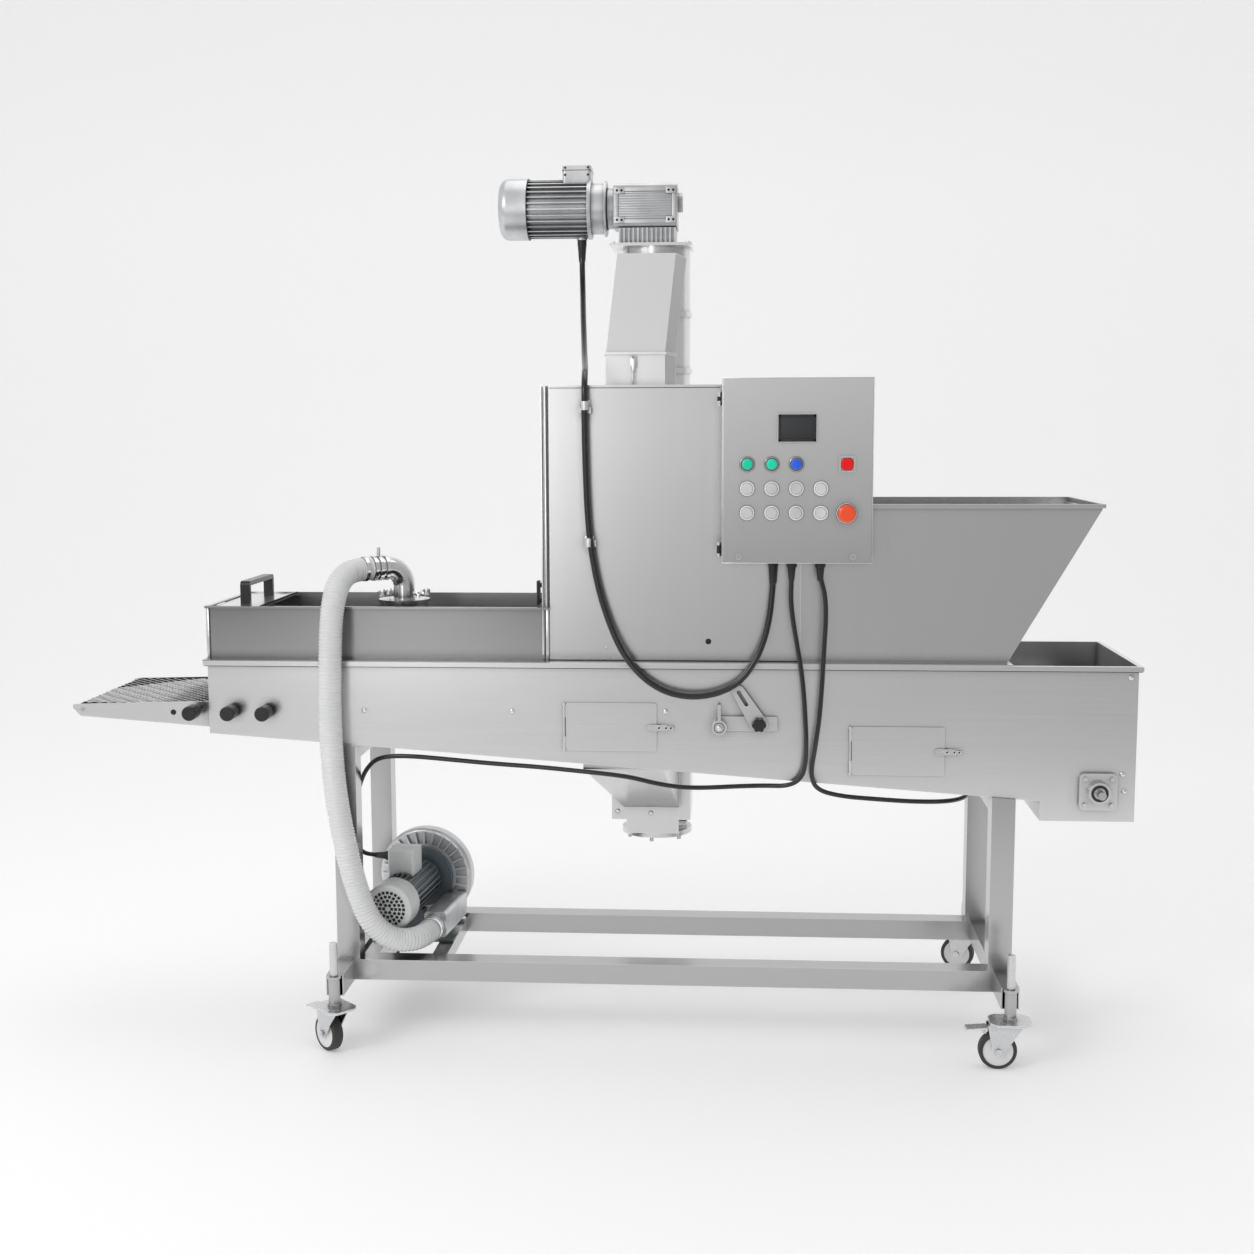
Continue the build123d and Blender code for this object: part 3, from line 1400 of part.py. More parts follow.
def gate_lever():
    y0, y1 = gate_lever_front_y, gate_plate_front_y - gate_gap
    tip_x = gate_axis_x + gate_lever_length * cos(radians(gate_lever_angle))
    tip_z = gate_axis_z + gate_lever_length * sin(radians(gate_lever_angle))
    arm = hull_plate([(gate_axis_x, gate_axis_z, gate_ring_r), (tip_x, tip_z, gate_lever_width / 2)], y0, y1)
    mid_x = gate_axis_x + 0.62 * (tip_x - gate_axis_x)
    mid_z = gate_axis_z + 0.62 * (tip_z - gate_axis_z)
    slot = hull_plate([(mid_x, mid_z, 5), (tip_x, tip_z, 5)], y0 - 1, y1 + 1)
    return arm - slot - rod_y(gate_axis_x, gate_axis_z, y0 - 1, y1 + 1, gate_stud_r + stud_clearance)


def lock_knob():
    y0 = lock_knob_back_y - lock_knob_length
    profile = Circle(lock_knob_r - 4)
    for turn in range(lock_lobes):
        angle = radians(360 * turn / lock_lobes)
        profile += Pos((lock_knob_r - 6) * cos(angle), (lock_knob_r - 6) * sin(angle)) * Circle(6)
    back_y = lock_knob_back_y
    knob = Pos(gate_axis_x, back_y, gate_axis_z) * Rot(90, 0, 0) * extrude(profile, lock_knob_length - 6)
    knob += rod_y(gate_axis_x, gate_axis_z, y0, back_y - 2, lock_knob_r - 6)
    return knob - rod_y(gate_axis_x, gate_axis_z, back_y - 16.5, back_y + 1, gate_stud_r + stud_clearance)


# Cable glands, clips and the routes of the cables and the hose
def cable_fittings():
    parts = [rod_z(top_gland[0], top_gland[1], top_gland[2] - gland_length, top_gland[2], gland_r)]
    for x, y in ((main_gland_x, main_gland_y), (left_gland_x, side_gland_y), (right_gland_x, side_gland_y)):
        parts.append(rod_z(x, y, cabinet_bottom_z - gland_length, cabinet_bottom_z, gland_r))
    y, z = blower_box_gland
    parts.append(at_blower(rod_x(y, z, blower_box_x - gland_length, blower_box_x, gland_r)))
    x, y, z = belt_box_gland
    parts.append(rod_x(y, z, x - gland_length, x, gland_r))
    clip_front_y = main_cable_y + main_cable_r + clip_gap
    half = clip_width / 2
    rise = clip_height / 2
    for x, z in clip_places:
        parts.append(block(x - half, x + half, clip_front_y, -housing_half_depth, z - rise, z + rise))
    return parts


def cable_main():
    x, y, z = top_gland
    return cord("cable_main", [
        (x, y, z - gland_length), (x, y, 2066), (-257, 325, 2019), (-252, 282, 1970), (-246, 222, 1925),
        (-239.6, 160, 1883), (-231, 80, 1832), (-218.6, -40, 1778), (-208, -140, 1748), (-203, -205, 1733),
        (-201, -240, 1697), (-201.5, main_cable_y, 1640), (-201, main_cable_y, 1573),
        (-199, main_cable_y, 1482), (-195.5, main_cable_y, 1390), (-189, main_cable_y, 1304),
        (-169, -243, 1190), (-138, -248, 1094), (-102, -260, 1019), (-52, -272, 963), (4, -275, 929),
        (66, -276, 917), (128, -275, 924), (183, -274, 949), (220, -270, 990), (250, -262, 1052),
        (265, -257, 1115), (271, -253, 1170), (main_gland_x, main_gland_y, 1214),
        (main_gland_x, main_gland_y, cabinet_bottom_z - gland_length)], main_cable_r)


def cable_left():
    y, z = blower_box_gland
    near = blower_point(blower_box_x - gland_length - 34, y, z)
    end = blower_point(blower_box_x - gland_length, y, z)
    return cord("cable_left", [
        (left_gland_x, side_gland_y, cabinet_bottom_z - gland_length), (left_gland_x, side_gland_y, 1212),
        (317.5, -290, 1165), (325, -291, 1105), (338, -290, 1035), (350, -290, 960), (357, -290, 868),
        (361, -288, 780), (354, -270, 714), (320, -245, 684), (255, -232, 682), (191, -234, 680),
        (106, -240, 676), (42, -248, 678), (-23, -254, 689), (-83, -254, 704), (-143, -254, 712),
        (-216, -250, 718), (-324, -236, 725), (-450, -228, 731), (-570, -226, 741), (-670, -222, 748),
        (-750, -208, 742), (-792, -182, 704), (-818, -166, 645), (-834, -146, 582), (-846, -114, 522),
        (-848, -76, 474), (-838, -48, 440), near, end], side_cable_r)


def cable_right():
    x, y, z = belt_box_gland
    return cord("cable_right", [
        (right_gland_x, side_gland_y, cabinet_bottom_z - gland_length), (right_gland_x, side_gland_y, 1224),
        (402, -290, 1186), (406, -291, 1130), (402, -290, 1050), (398, -291, 958), (392, -290, 864),
        (381, -288, 784), (372, -272, 720), (388, -246, 676), (450, -230, 656), (540, -228, 649),
        (640, -222, 642), (730, -190, 636), (786, -120, 632), (806, -10, 629), (808, 100, 627),
        (806, 200, 626), (808, 280, 629), (818, 340, 637), (836, 374, 649), (x - gland_length - 24, y, z),
        (x - gland_length, y, z)], side_cable_r)


def air_hose():
    end = elbow_point(elbow_total, elbow_z)
    first = elbow_point(elbow_total + 45, elbow_z)
    tip = blower_point(silencer_offset_x, -silencer_length - coupling_length, silencer_z)
    near = blower_point(silencer_offset_x, -silencer_length - coupling_length - 58, silencer_z)
    return cord("air_hose", [
        end, first, (-843, -196, 1211), (-850, -250, 1164), (-852, -281, 1094), (-855, -286, 998),
        (-858, -288, 890), (-856, -288, 767), (-846, -288, 640), (-822, -288, 500), (-794, -288, 390),
        (-762, -284, 312), (-716, -262, 266), (-668, -230, 254), near, tip], hose_r)


lid = air_lid() + lid_handle()

nodes = {
    "base_frame": base_frame(),
    "caster_stems": [at_caster(name, caster_stem()) for name in casters],
    "trough": trough(),
    "conveyor_frame": conveyor_frame(),
    "mesh_belt": mesh_belt(),
    "air_box": air_box(),
    "air_duct": air_duct(),
    "air_hose": air_hose(),
    "housing": housing(),
    "hopper": hopper(),
    "chute": chute(),
    "auger_casing": auger_casing(),
    "gearbox": gearbox(),
    "top_motor": top_motor(),
    "blower": blower(),
    "blower_motor": blower_motor(),
    "flange_bearing": flange_bearing(),
    "belt_gearmotor": belt_gearmotor(),
    "cabinet": cabinet(),
    "cable_main": cable_main(),
    "cable_left": cable_left(),
    "cable_right": cable_right(),
    "cable_fittings": cable_fittings(),
    "auger_screw": auger_screw(),
    "drive_roller": drive_roller(),
    "nose_roller": nose_roller(),
    "cabinet_door": door(),
    "pilot_lamps": pilot_lamps(),
    "button_red": square_cap(),
    "stop_button": stop_button(),
    "gate_bracket": gate_bracket(),
    "gate_lever": gate_lever(),
    "lock_knob": lock_knob(),
    "air_lid": lid,
}
for name, place in round_buttons.items():
    nodes[name] = round_button(*place)
for name in casters:
    braked = name.startswith("front")
    nodes["fork_" + name] = at_caster(name, braked_fork() if braked else fork())
    nodes["wheel_" + name] = at_caster(name, wheel())
    if braked:
        nodes["pedal_" + name] = at_caster(name, brake_pedal())
for name, place in hatches.items():
    nodes["hatch_" + name] = hatch(*place)
    nodes["latch_" + name] = latch(*place)
for number, x in enumerate(knob_x, 1):
    plate_y = -cheek_y if x < trough_left_x else trough_front_y
    nodes["side_knob_" + str(number)] = side_knob(x, plate_y)

os.makedirs("parts", exist_ok=True)
for node, shape in nodes.items():
    save(node, shape)
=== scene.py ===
from math import cos, pi, radians, sin

import bmesh
import bpy
from mathutils import Matrix, Vector


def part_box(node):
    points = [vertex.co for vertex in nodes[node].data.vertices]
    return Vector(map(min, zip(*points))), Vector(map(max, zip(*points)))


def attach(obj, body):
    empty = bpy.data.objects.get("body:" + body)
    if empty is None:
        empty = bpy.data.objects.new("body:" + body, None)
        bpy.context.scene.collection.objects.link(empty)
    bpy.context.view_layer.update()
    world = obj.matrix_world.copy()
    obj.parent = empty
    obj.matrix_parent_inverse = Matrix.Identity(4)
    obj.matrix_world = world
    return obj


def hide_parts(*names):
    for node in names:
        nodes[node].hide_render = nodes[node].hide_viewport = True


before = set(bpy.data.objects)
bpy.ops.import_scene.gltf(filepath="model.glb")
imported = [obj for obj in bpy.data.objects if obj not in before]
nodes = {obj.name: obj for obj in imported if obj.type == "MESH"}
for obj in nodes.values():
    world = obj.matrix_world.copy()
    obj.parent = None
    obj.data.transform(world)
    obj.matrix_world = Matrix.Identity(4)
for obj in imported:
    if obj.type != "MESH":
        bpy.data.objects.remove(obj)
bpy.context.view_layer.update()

shelf = bpy.context.scene.collection

# camera
cameraSetup = {
    "place": (0.183735, -4.368677, 1.602166),
    "yaw": 0.06757,
    "pitch": 0.12174,
    "roll": -0.00309,
    "lens": 46.964,
    "sensor": 36,
    "shiftY": -0.00136,
    "farthest": 60,
}


def placeCamera(setup):
    yaw, pitch, roll = setup["yaw"], setup["pitch"], setup["roll"]
    ahead = Vector((-sin(yaw) * cos(pitch), cos(yaw) * cos(pitch), -sin(pitch)))
    right = Vector((cos(yaw), sin(yaw), 0))
    up = right.cross(ahead)
    rightRolled = right * cos(roll) + up * sin(roll)
    upRolled = up * cos(roll) - right * sin(roll)
    lens = bpy.data.cameras.new("photoCamera")
    lens.lens = setup["lens"]
    lens.sensor_width = setup["sensor"]
    lens.shift_y = setup["shiftY"]
    lens.clip_end = setup["farthest"]
    holder = bpy.data.objects.new("photoCamera", lens)
    turn = Matrix((rightRolled, upRolled, -ahead)).transposed().to_4x4()
    holder.matrix_world = Matrix.Translation(setup["place"]) @ turn
    shelf.objects.link(holder)
    bpy.context.scene.camera = holder


placeCamera(cameraSetup)
print("camera placed")


# shader helpers
def feed(tree, node, values):
    # outputs of other nodes are linked, constants are set on the socket
    for label, value in values.items():
        if isinstance(value, bpy.types.NodeSocket):
            tree.links.new(value, node.inputs[label])
        else:
            node.inputs[label].default_value = value


def addNode(tree, kind, values=None, **settings):
    node = tree.nodes.new("ShaderNode" + kind)
    for label, value in settings.items():
        setattr(node, label, value)
    feed(tree, node, values or {})
    return node


def mathNode(tree, operation, *values):
    return addNode(tree, "Math", dict(enumerate(values)), operation=operation).outputs[0]


def vectorNode(tree, operation, *values):
    outputs = addNode(tree, "VectorMath", dict(enumerate(values)), operation=operation).outputs
    return outputs["Value"] if operation in ("DOT_PRODUCT", "LENGTH") else outputs["Vector"]


def objectSpot(tree):
    return addNode(tree, "TexCoord").outputs["Object"]


def axes(tree, vector):
    return addNode(tree, "SeparateXYZ", {0: vector}).outputs


def noise(tree, vector, scale, **values):
    return addNode(tree, "TexNoise", {"Vector": vector, "Scale": scale, **values}).outputs["Fac"]


def span(tree, source, low, high, fromLow=0.3, fromHigh=0.7):
    values = {"Value": source, "From Min": fromLow, "From Max": fromHigh, "To Min": low, "To Max": high}
    return addNode(tree, "MapRange", values).outputs["Result"]


def blendColour(tree, mask, under, over):
    # sockets 6, 7 and output 2 are the colour ones of this node
    under, over = [(*side, 1) if isinstance(side, tuple) else side for side in (under, over)]
    return addNode(tree, "Mix", {0: mask, 6: under, 7: over}, data_type="RGBA").outputs[2]


def ramp(tree, source, stops):
    node = addNode(tree, "ValToRGB", {"Fac": source})
    for element, (place, tone) in zip(node.color_ramp.elements, stops):
        element.position = place
        element.color = (*tone, 1)
    return node.outputs["Color"]


def bump(tree, shader, height, strength, depth=0.0004):
    node = addNode(tree, "Bump", {"Strength": strength, "Distance": depth, "Height": height})
    feed(tree, shader, {"Normal": node.outputs["Normal"]})


def placeGroup(tree, group, values):
    return addNode(tree, "Group", values, node_tree=group).outputs


# shader groups
def makeGroup(name, inputs, outputs):
    group = bpy.data.node_groups.new(name, "ShaderNodeTree")
    for label, kind, value in inputs:
        socket = group.interface.new_socket(label, in_out="INPUT", socket_type="NodeSocket" + kind)
        socket.default_value = value
    for label in outputs:
        group.interface.new_socket(label, in_out="OUTPUT", socket_type="NodeSocketFloat")
    return group, group.nodes.new("NodeGroupInput").outputs, group.nodes.new("NodeGroupOutput")


def buildBrushedGrain():
    # long fine scratches, with slow cloudy patches from handling
    inputs = [("Stretch", "Vector", (2, 2, 300)), ("Cloud Size", "Float", 3)]
    group, given, result = makeGroup("brushedGrain", inputs, ("Scratch", "Cloud"))
    spot = objectSpot(group)
    stretched = vectorNode(group, "MULTIPLY", spot, given["Stretch"])
    feed(group, result, {"Scratch": noise(group, stretched, 1, Detail=6, Roughness=0.7),
                         "Cloud": noise(group, spot, given["Cloud Size"], Detail=3)})
    return group


def buildMoldGrain():
    # pebbled skin of castings, paint and moulded plastic
    inputs = [("Grain Size", "Float", 400), ("Dust Size", "Float", 14)]
    group, given, result = makeGroup("moldGrain", inputs, ("Grain", "Dust"))
    spot = objectSpot(group)
    feed(group, result, {"Grain": noise(group, spot, given["Grain Size"], Detail=4),
                         "Dust": noise(group, spot, given["Dust Size"], Detail=5)})
    return group


def buildEdgeShade():
    # painted highlight along the outer edges and painted shade (ambient occlusion) where sheets meet
    inputs = [("Edge Width", "Float", 0.0012), ("Reach", "Float", 0.03)]
    group, given, result = makeGroup("edgeHighlightAndShade", inputs, ("Edge", "Crevice"))
    rounded = addNode(group, "Bevel", {"Radius": given["Edge Width"]}, samples=3).outputs["Normal"]
    flatness = vectorNode(group, "DOT_PRODUCT", rounded, addNode(group, "NewGeometry").outputs["Normal"])
    openness = addNode(group, "AmbientOcclusion", {"Distance": given["Reach"]}, samples=4).outputs["AO"]
    feed(group, result, {"Edge": span(group, flatness, 1, 0, 0.80, 0.97),
                         "Crevice": span(group, openness, 1, 0, 0.25, 0.85)})
    return group


def buildRegionMask():
    # 1 inside a box that may be turned about the upright
    inputs = [("Centre", "Vector", (0, 0, 0)), ("Half", "Vector", (1, 1, 1)), ("Turn", "Float", 0)]
    group, given, result = makeGroup("regionMask", inputs, ("Mask",))
    around = {"Vector": objectSpot(group), "Center": given["Centre"], "Angle": given["Turn"]}
    level = addNode(group, "VectorRotate", around, rotation_type="Z_AXIS").outputs[0]
    away = vectorNode(group, "ABSOLUTE", vectorNode(group, "SUBTRACT", level, given["Centre"]))
    x, y, z = axes(group, vectorNode(group, "SUBTRACT", away, given["Half"]))
    highest = mathNode(group, "MAXIMUM", mathNode(group, "MAXIMUM", x, y), z)
    feed(group, result, {"Mask": mathNode(group, "LESS_THAN", highest, 0)})
    return group


grainGroup = buildBrushedGrain()
moldGroup = buildMoldGrain()
edgeGroup = buildEdgeShade()
regionGroup = buildRegionMask()


# material helpers
def blankMaterial(name):
    material = bpy.data.materials.new(name)
    material.use_nodes = True
    return material, material.node_tree, material.node_tree.nodes["Principled BSDF"]


def scaled(tone, share):
    return tuple(channel * share for channel in tone)


def mottled(tree, source, tone, spread):
    low = tuple(channel / spread for channel in tone)
    high = tuple(min(1, channel * spread) for channel in tone)
    return ramp(tree, source, [(0.35, low), (0.65, high)])


def shadedColour(tree, colour, tone, edge, reach, depth):
    # mixes painted shade into crevices and a brighter painted highlight onto outer edges
    shade = placeGroup(tree, edgeGroup, {"Edge Width": edge, "Reach": reach})
    light = tuple(min(1, channel * 1.35 + 0.10) for channel in tone)
    shaded = blendColour(tree, shade["Crevice"], colour, scaled(tone, depth))
    return blendColour(tree, shade["Edge"], shaded, light)


def anyRegion(tree, regions):
    mask = None
    for centre, half, *turn in regions:
        values = {"Centre": centre, "Half": half, "Turn": turn[0] if turn else 0}
        region = placeGroup(tree, regionGroup, values)["Mask"]
        mask = region if mask is None else mathNode(tree, "MAXIMUM", mask, region)
    return mask


steelDefaults = {"tone": (0.80, 0.80, 0.805), "grain": (3, 3, 420), "cloudSize": 2.2, "rough": (0.22, 0.26),
                 "spread": 1.02, "bump": 0.010, "edge": 0.0026, "reach": 0.030, "depth": 0.16, "fade": None,
                 "sideShade": None, "patches": (), "patchTone": (0.014, 0.014, 0.015), "patchMetallic": 0}


def brushedSteel(name, **changes):
    setup = {**steelDefaults, **changes}
    tone = setup["tone"]
    material, tree, shader = blankMaterial(name)
    grain = placeGroup(tree, grainGroup, {"Stretch": setup["grain"], "Cloud Size": setup["cloudSize"]})
    cloud = mathNode(tree, "MULTIPLY", grain["Cloud"], 0.65)
    mixed = mathNode(tree, "MULTIPLY_ADD", grain["Scratch"], 0.35, cloud)
    colour = mottled(tree, mixed, tone, setup["spread"])
    if setup["fade"]:
        # painted shading: towards its foot the sheet's colour shifts to the tone times share, standing in for
        # how the light falls there
        bottom, top, share = setup["fade"]
        height = axes(tree, objectSpot(tree))[2]
        colour = blendColour(tree, span(tree, height, 0.9, 0, bottom, top), colour, scaled(tone, share))
    if setup["sideShade"]:
        # painted reflection: walls that face right are darkened in colour to stand in for the darker half of
        # the room they mirror
        facing = axes(tree, addNode(tree, "TexCoord").outputs["Normal"])[0]
        colour = blendColour(tree, span(tree, facing, 0, 1), colour, scaled(tone, setup["sideShade"]))
    colour = shadedColour(tree, colour, tone, setup["edge"], setup["reach"], setup["depth"])
    shader.inputs["Metallic"].default_value = 1
    if setup["patches"]:
        # other finishes on the same imported piece, such as its black mouldings, and the lighter steel inside
        # the air box, whose outside is darkened as painted shade
        mask = anyRegion(tree, setup["patches"])
        feed(tree, shader, {"Metallic": span(tree, mask, 1, setup["patchMetallic"], 0, 1)})
        colour = blendColour(tree, mask, colour, setup["patchTone"])
    feed(tree, shader, {"Base Color": colour, "Roughness": span(tree, grain["Scratch"], *setup["rough"])})
    bump(tree, shader, grain["Scratch"], setup["bump"])
    return material


paintDefaults = {"rough": (0.35, 0.5), "metallic": 0.0, "grainSize": 500, "strength": 0.15, "spread": 1.12,
                 "coat": 0.0, "specular": 0.5, "edge": 0.0012, "reach": 0.02, "depth": 0.3, "shaded": True}


def coatedSkin(name, tone, **changes):
    setup = {**paintDefaults, **changes}
    material, tree, shader = blankMaterial(name)
    grain = placeGroup(tree, moldGroup, {"Grain Size": setup["grainSize"]})
    colour = mottled(tree, grain["Dust"], tone, setup["spread"])
    if setup["shaded"]:
        colour = shadedColour(tree, colour, tone, setup["edge"], setup["reach"], setup["depth"])
    feed(tree, shader, {"Base Color": colour, "Roughness": span(tree, grain["Grain"], *setup["rough"]),
                        "Metallic": setup["metallic"], "Coat Weight": setup["coat"],
                        "Specular IOR Level": setup["specular"]})
    bump(tree, shader, grain["Grain"], setup["strength"], 0.0003)
    return material


def twoToneSkin(name, ground, other, regions):
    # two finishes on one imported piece, parted by box regions
    material, tree, shader = blankMaterial(name)
    grain = placeGroup(tree, moldGroup, {"Grain Size": paintDefaults["grainSize"]})
    mask = anyRegion(tree, regions)
    sides = [shadedColour(tree, mottled(tree, grain["Dust"], finish["tone"], 1.1), finish["tone"],
                          *[paintDefaults[label] for label in ("edge", "reach", "depth")])
             for finish in (ground, other)]
    uneven = mathNode(tree, "MULTIPLY", grain["Grain"], 0.2)
    rough = mathNode(tree, "ADD", span(tree, mask, ground["rough"], other["rough"], 0, 1), uneven)
    feed(tree, shader, {"Base Color": blendColour(tree, mask, *sides), "Roughness": rough,
                        "Metallic": span(tree, mask, ground["metallic"], other["metallic"], 0, 1)})
    bump(tree, shader, grain["Grain"], paintDefaults["strength"], 0.0003)
    return material


def wheelSkin(name, axle, axis, treadRadius):
    # white nylon hub that turns to dark tread outside treadRadius
    material, tree, shader = blankMaterial(name)
    arm = vectorNode(tree, "CROSS_PRODUCT", vectorNode(tree, "SUBTRACT", objectSpot(tree), axle), axis)
    band = span(tree, vectorNode(tree, "LENGTH", arm), 0, 1, treadRadius - 0.0004, treadRadius + 0.0004)
    feed(tree, shader, {"Base Color": ramp(tree, band, [(0, (0.78, 0.78, 0.76)), (1, (0.035, 0.035, 0.037))]),
                        "Roughness": span(tree, band, 0.35, 0.6, 0, 1)})
    bump(tree, shader, placeGroup(tree, moldGroup, {"Grain Size": 700})["Grain"], 0.15, 0.0002)
    return material


def hosePvc(name):
    material, tree, shader = blankMaterial(name)
    grain = placeGroup(tree, moldGroup, {"Grain Size": 120, "Dust Size": 9})
    colour = ramp(tree, grain["Dust"], [(0.3, (0.93, 0.935, 0.94)), (0.7, (0.99, 0.99, 0.99))])
    # painted shade darkens the valleys between the ribs and a painted highlight lines the edges
    feed(tree, shader, {"Base Color": shadedColour(tree, colour, (0.95, 0.95, 0.95), 0.0008, 0.0035, 0.7),
                        "Roughness": span(tree, grain["Grain"], 0.12, 0.22), "Transmission Weight": 0.25,
                        "IOR": 1.35, "Coat Weight": 0.5})
    return material


# materials
verticalGrain = (420, 420, 3)
doorHinges = [((0.1395, -0.356, 1.299), (0.0062, 0.014, 0.010)),
              ((0.1395, -0.356, 1.665), (0.0062, 0.014, 0.0055))]
lidHandle = [((-1.112, -0.036, 1.1657), (0.06, 0.2, 0.0311))]
# the air box's inside keeps a lighter steel tone; its outside skin is a darker copy of the steel, as painted
# shade
boxInside = [((-0.75, 0.05, 1.08), (0.47, 0.25, 0.1))]
mainClips = [((-0.20, -0.24, 1.5), (0.06, 0.05, 0.32))]
blueLamp = [((0.326, -0.373, 1.507), (0.02, 0.02, 0.02))]
blowerTurn = radians(6.1)
blowerDisc = [((-0.6994, 0.1048, 0.334), (0.086, 0.0071, 0.086), blowerTurn)]
blowerCovers = [((-0.7301, -0.1828, 0.334), (0.07, 0.0367, 0.07), blowerTurn),
                ((-0.7219, -0.0404, 0.4195), (0.0362, 0.0422, 0.0355), blowerTurn)]
# the stainless skins of the air box, hopper and cabinet are darker copies of one steel and those of the
# chute, lid and door lighter copies: painted shade and painted light
skins = {
    "panel": brushedSteel("satinPanel"),
    "frameSteel": brushedSteel("satinFrame", tone=(0.49, 0.485, 0.485), reach=0.045),
    "boxPanel": brushedSteel("satinBoxPanel", tone=(0.29, 0.288, 0.29), fade=(1.01, 1.12, 1.4),
                             patches=boxInside, patchTone=(0.72, 0.72, 0.725), patchMetallic=1),
    "hopperPanel": brushedSteel("satinHopperPanel", tone=(0.64, 0.64, 0.645), grain=verticalGrain),
    "upright": brushedSteel("satinUpright", grain=verticalGrain, fade=(0.95, 1.6, 0.80)),
    "chutePanel": brushedSteel("satinChute", tone=(0.97, 0.97, 0.975), sideShade=0.3, grain=verticalGrain),
    "doorPanel": brushedSteel("satinDoor", tone=(0.84, 0.835, 0.84), grain=verticalGrain,
                              fade=(1.26, 1.72, 0.66), patches=doorHinges),
    "cabinetPanel": brushedSteel("satinCabinet", tone=(0.72, 0.72, 0.725), grain=verticalGrain,
                                 patches=doorHinges),
    "lidPanel": brushedSteel("satinLid", tone=(0.85, 0.85, 0.855), patches=lidHandle),
    "bright": brushedSteel("brightSteel", tone=(0.82, 0.82, 0.83), rough=(0.16, 0.26)),
    "pipe": brushedSteel("polishedPipe", tone=(0.76, 0.765, 0.77), grain=(60, 60, 300), rough=(0.12, 0.22),
                         bump=0.05),
    "roller": brushedSteel("turnedSteel", tone=(0.55, 0.555, 0.56), grain=(400, 6, 400), rough=(0.22, 0.36)),
    "zinc": brushedSteel("zincPlate", tone=(0.66, 0.665, 0.68), grain=(90, 90, 90), rough=(0.2, 0.34),
                         spread=1.03, bump=0.03, reach=0.02),
    "motor": coatedSkin("silverPaint", (0.62, 0.63, 0.64), rough=(0.3, 0.42), metallic=0.8, reach=0.016,
                        depth=0.07),
    # the pale cap is a darker copy of the white cap colour, as painted shade on the recessed centres of the
    # white buttons
    "cap": coatedSkin("paleCap", (0.66, 0.66, 0.655), rough=(0.22, 0.32), strength=0.05, coat=0.4, depth=0.5),
    "blower": twoToneSkin("blowerCasting", {"tone": (0.66, 0.67, 0.68), "metallic": 0.85, "rough": 0.24},
                          {"tone": (0.10, 0.125, 0.14), "metallic": 0.2, "rough": 0.3}, blowerDisc),
    "blowerMotor": twoToneSkin("blowerMotorPaint",
                               {"tone": (0.13, 0.155, 0.17), "metallic": 0.25, "rough": 0.26},
                               {"tone": (0.62, 0.63, 0.63), "metallic": 0.1, "rough": 0.3}, blowerCovers),
    "black": coatedSkin("blackMoulding", (0.014, 0.014, 0.015), rough=(0.3, 0.5), strength=0.3),
    "fitting": twoToneSkin("fittingMix", {"tone": (0.014, 0.014, 0.015), "metallic": 0.0, "rough": 0.3},
                           {"tone": (0.8, 0.8, 0.81), "metallic": 0.9, "rough": 0.15}, mainClips),
    "jacket": coatedSkin("cableJacket", (0.008, 0.008, 0.009), rough=(0.2, 0.34), strength=0.08, coat=0.3,
                         shaded=False),
    "red": coatedSkin("redCap", (0.97, 0.003, 0.003), rough=(0.2, 0.3), strength=0.05, coat=0.15, depth=0.6,
                      specular=0.3),
    "orange": coatedSkin("orangeCap", (0.90, 0.075, 0.012), rough=(0.2, 0.3), strength=0.05, coat=0.5,
                         depth=0.6),
    "white": coatedSkin("whiteCap", (0.97, 0.97, 0.965), rough=(0.22, 0.32), strength=0.05, coat=0.4,
                        depth=0.6),
    "lamps": twoToneSkin("lampLens", {"tone": (0.005, 0.76, 0.46), "metallic": 0.0, "rough": 0.06},
                         {"tone": (0.02, 0.13, 0.86), "metallic": 0.0, "rough": 0.06}, blueLamp),
    "glass": coatedSkin("screenGlass", (0.016, 0.018, 0.02), rough=(0.05, 0.12), strength=0.02, coat=0.8,
                        shaded=False),
    # near black discs and squares over openings and recesses: painted shade
    "openingShade": coatedSkin("paintedOpeningShade", (0.01, 0.01, 0.01), rough=(0.6, 0.8), strength=0.1, shaded=False),
    # black for rubber seals, screws and the screen frame, and for strips and rings of painted shade at joints
    # and gaps
    "sealAndShade": coatedSkin("rubberSealAndShade", (0.02, 0.02, 0.021), rough=(0.45, 0.6), strength=0.2, shaded=False),
    "pvc": hosePvc("clearPvc"),
    # the belt sheet under the wires is near black as painted shade seen through the weave
    "beltGapShade": coatedSkin("beltGapShade", (0.02, 0.02, 0.021), rough=(0.8, 0.95), specular=0.05, shaded=False),
    "wire": brushedSteel("beltWire", tone=(0.40, 0.40, 0.405), grain=(80, 80, 80), rough=(0.2, 0.3),
                         reach=0.006),
}
print("materials made:", len(skins))

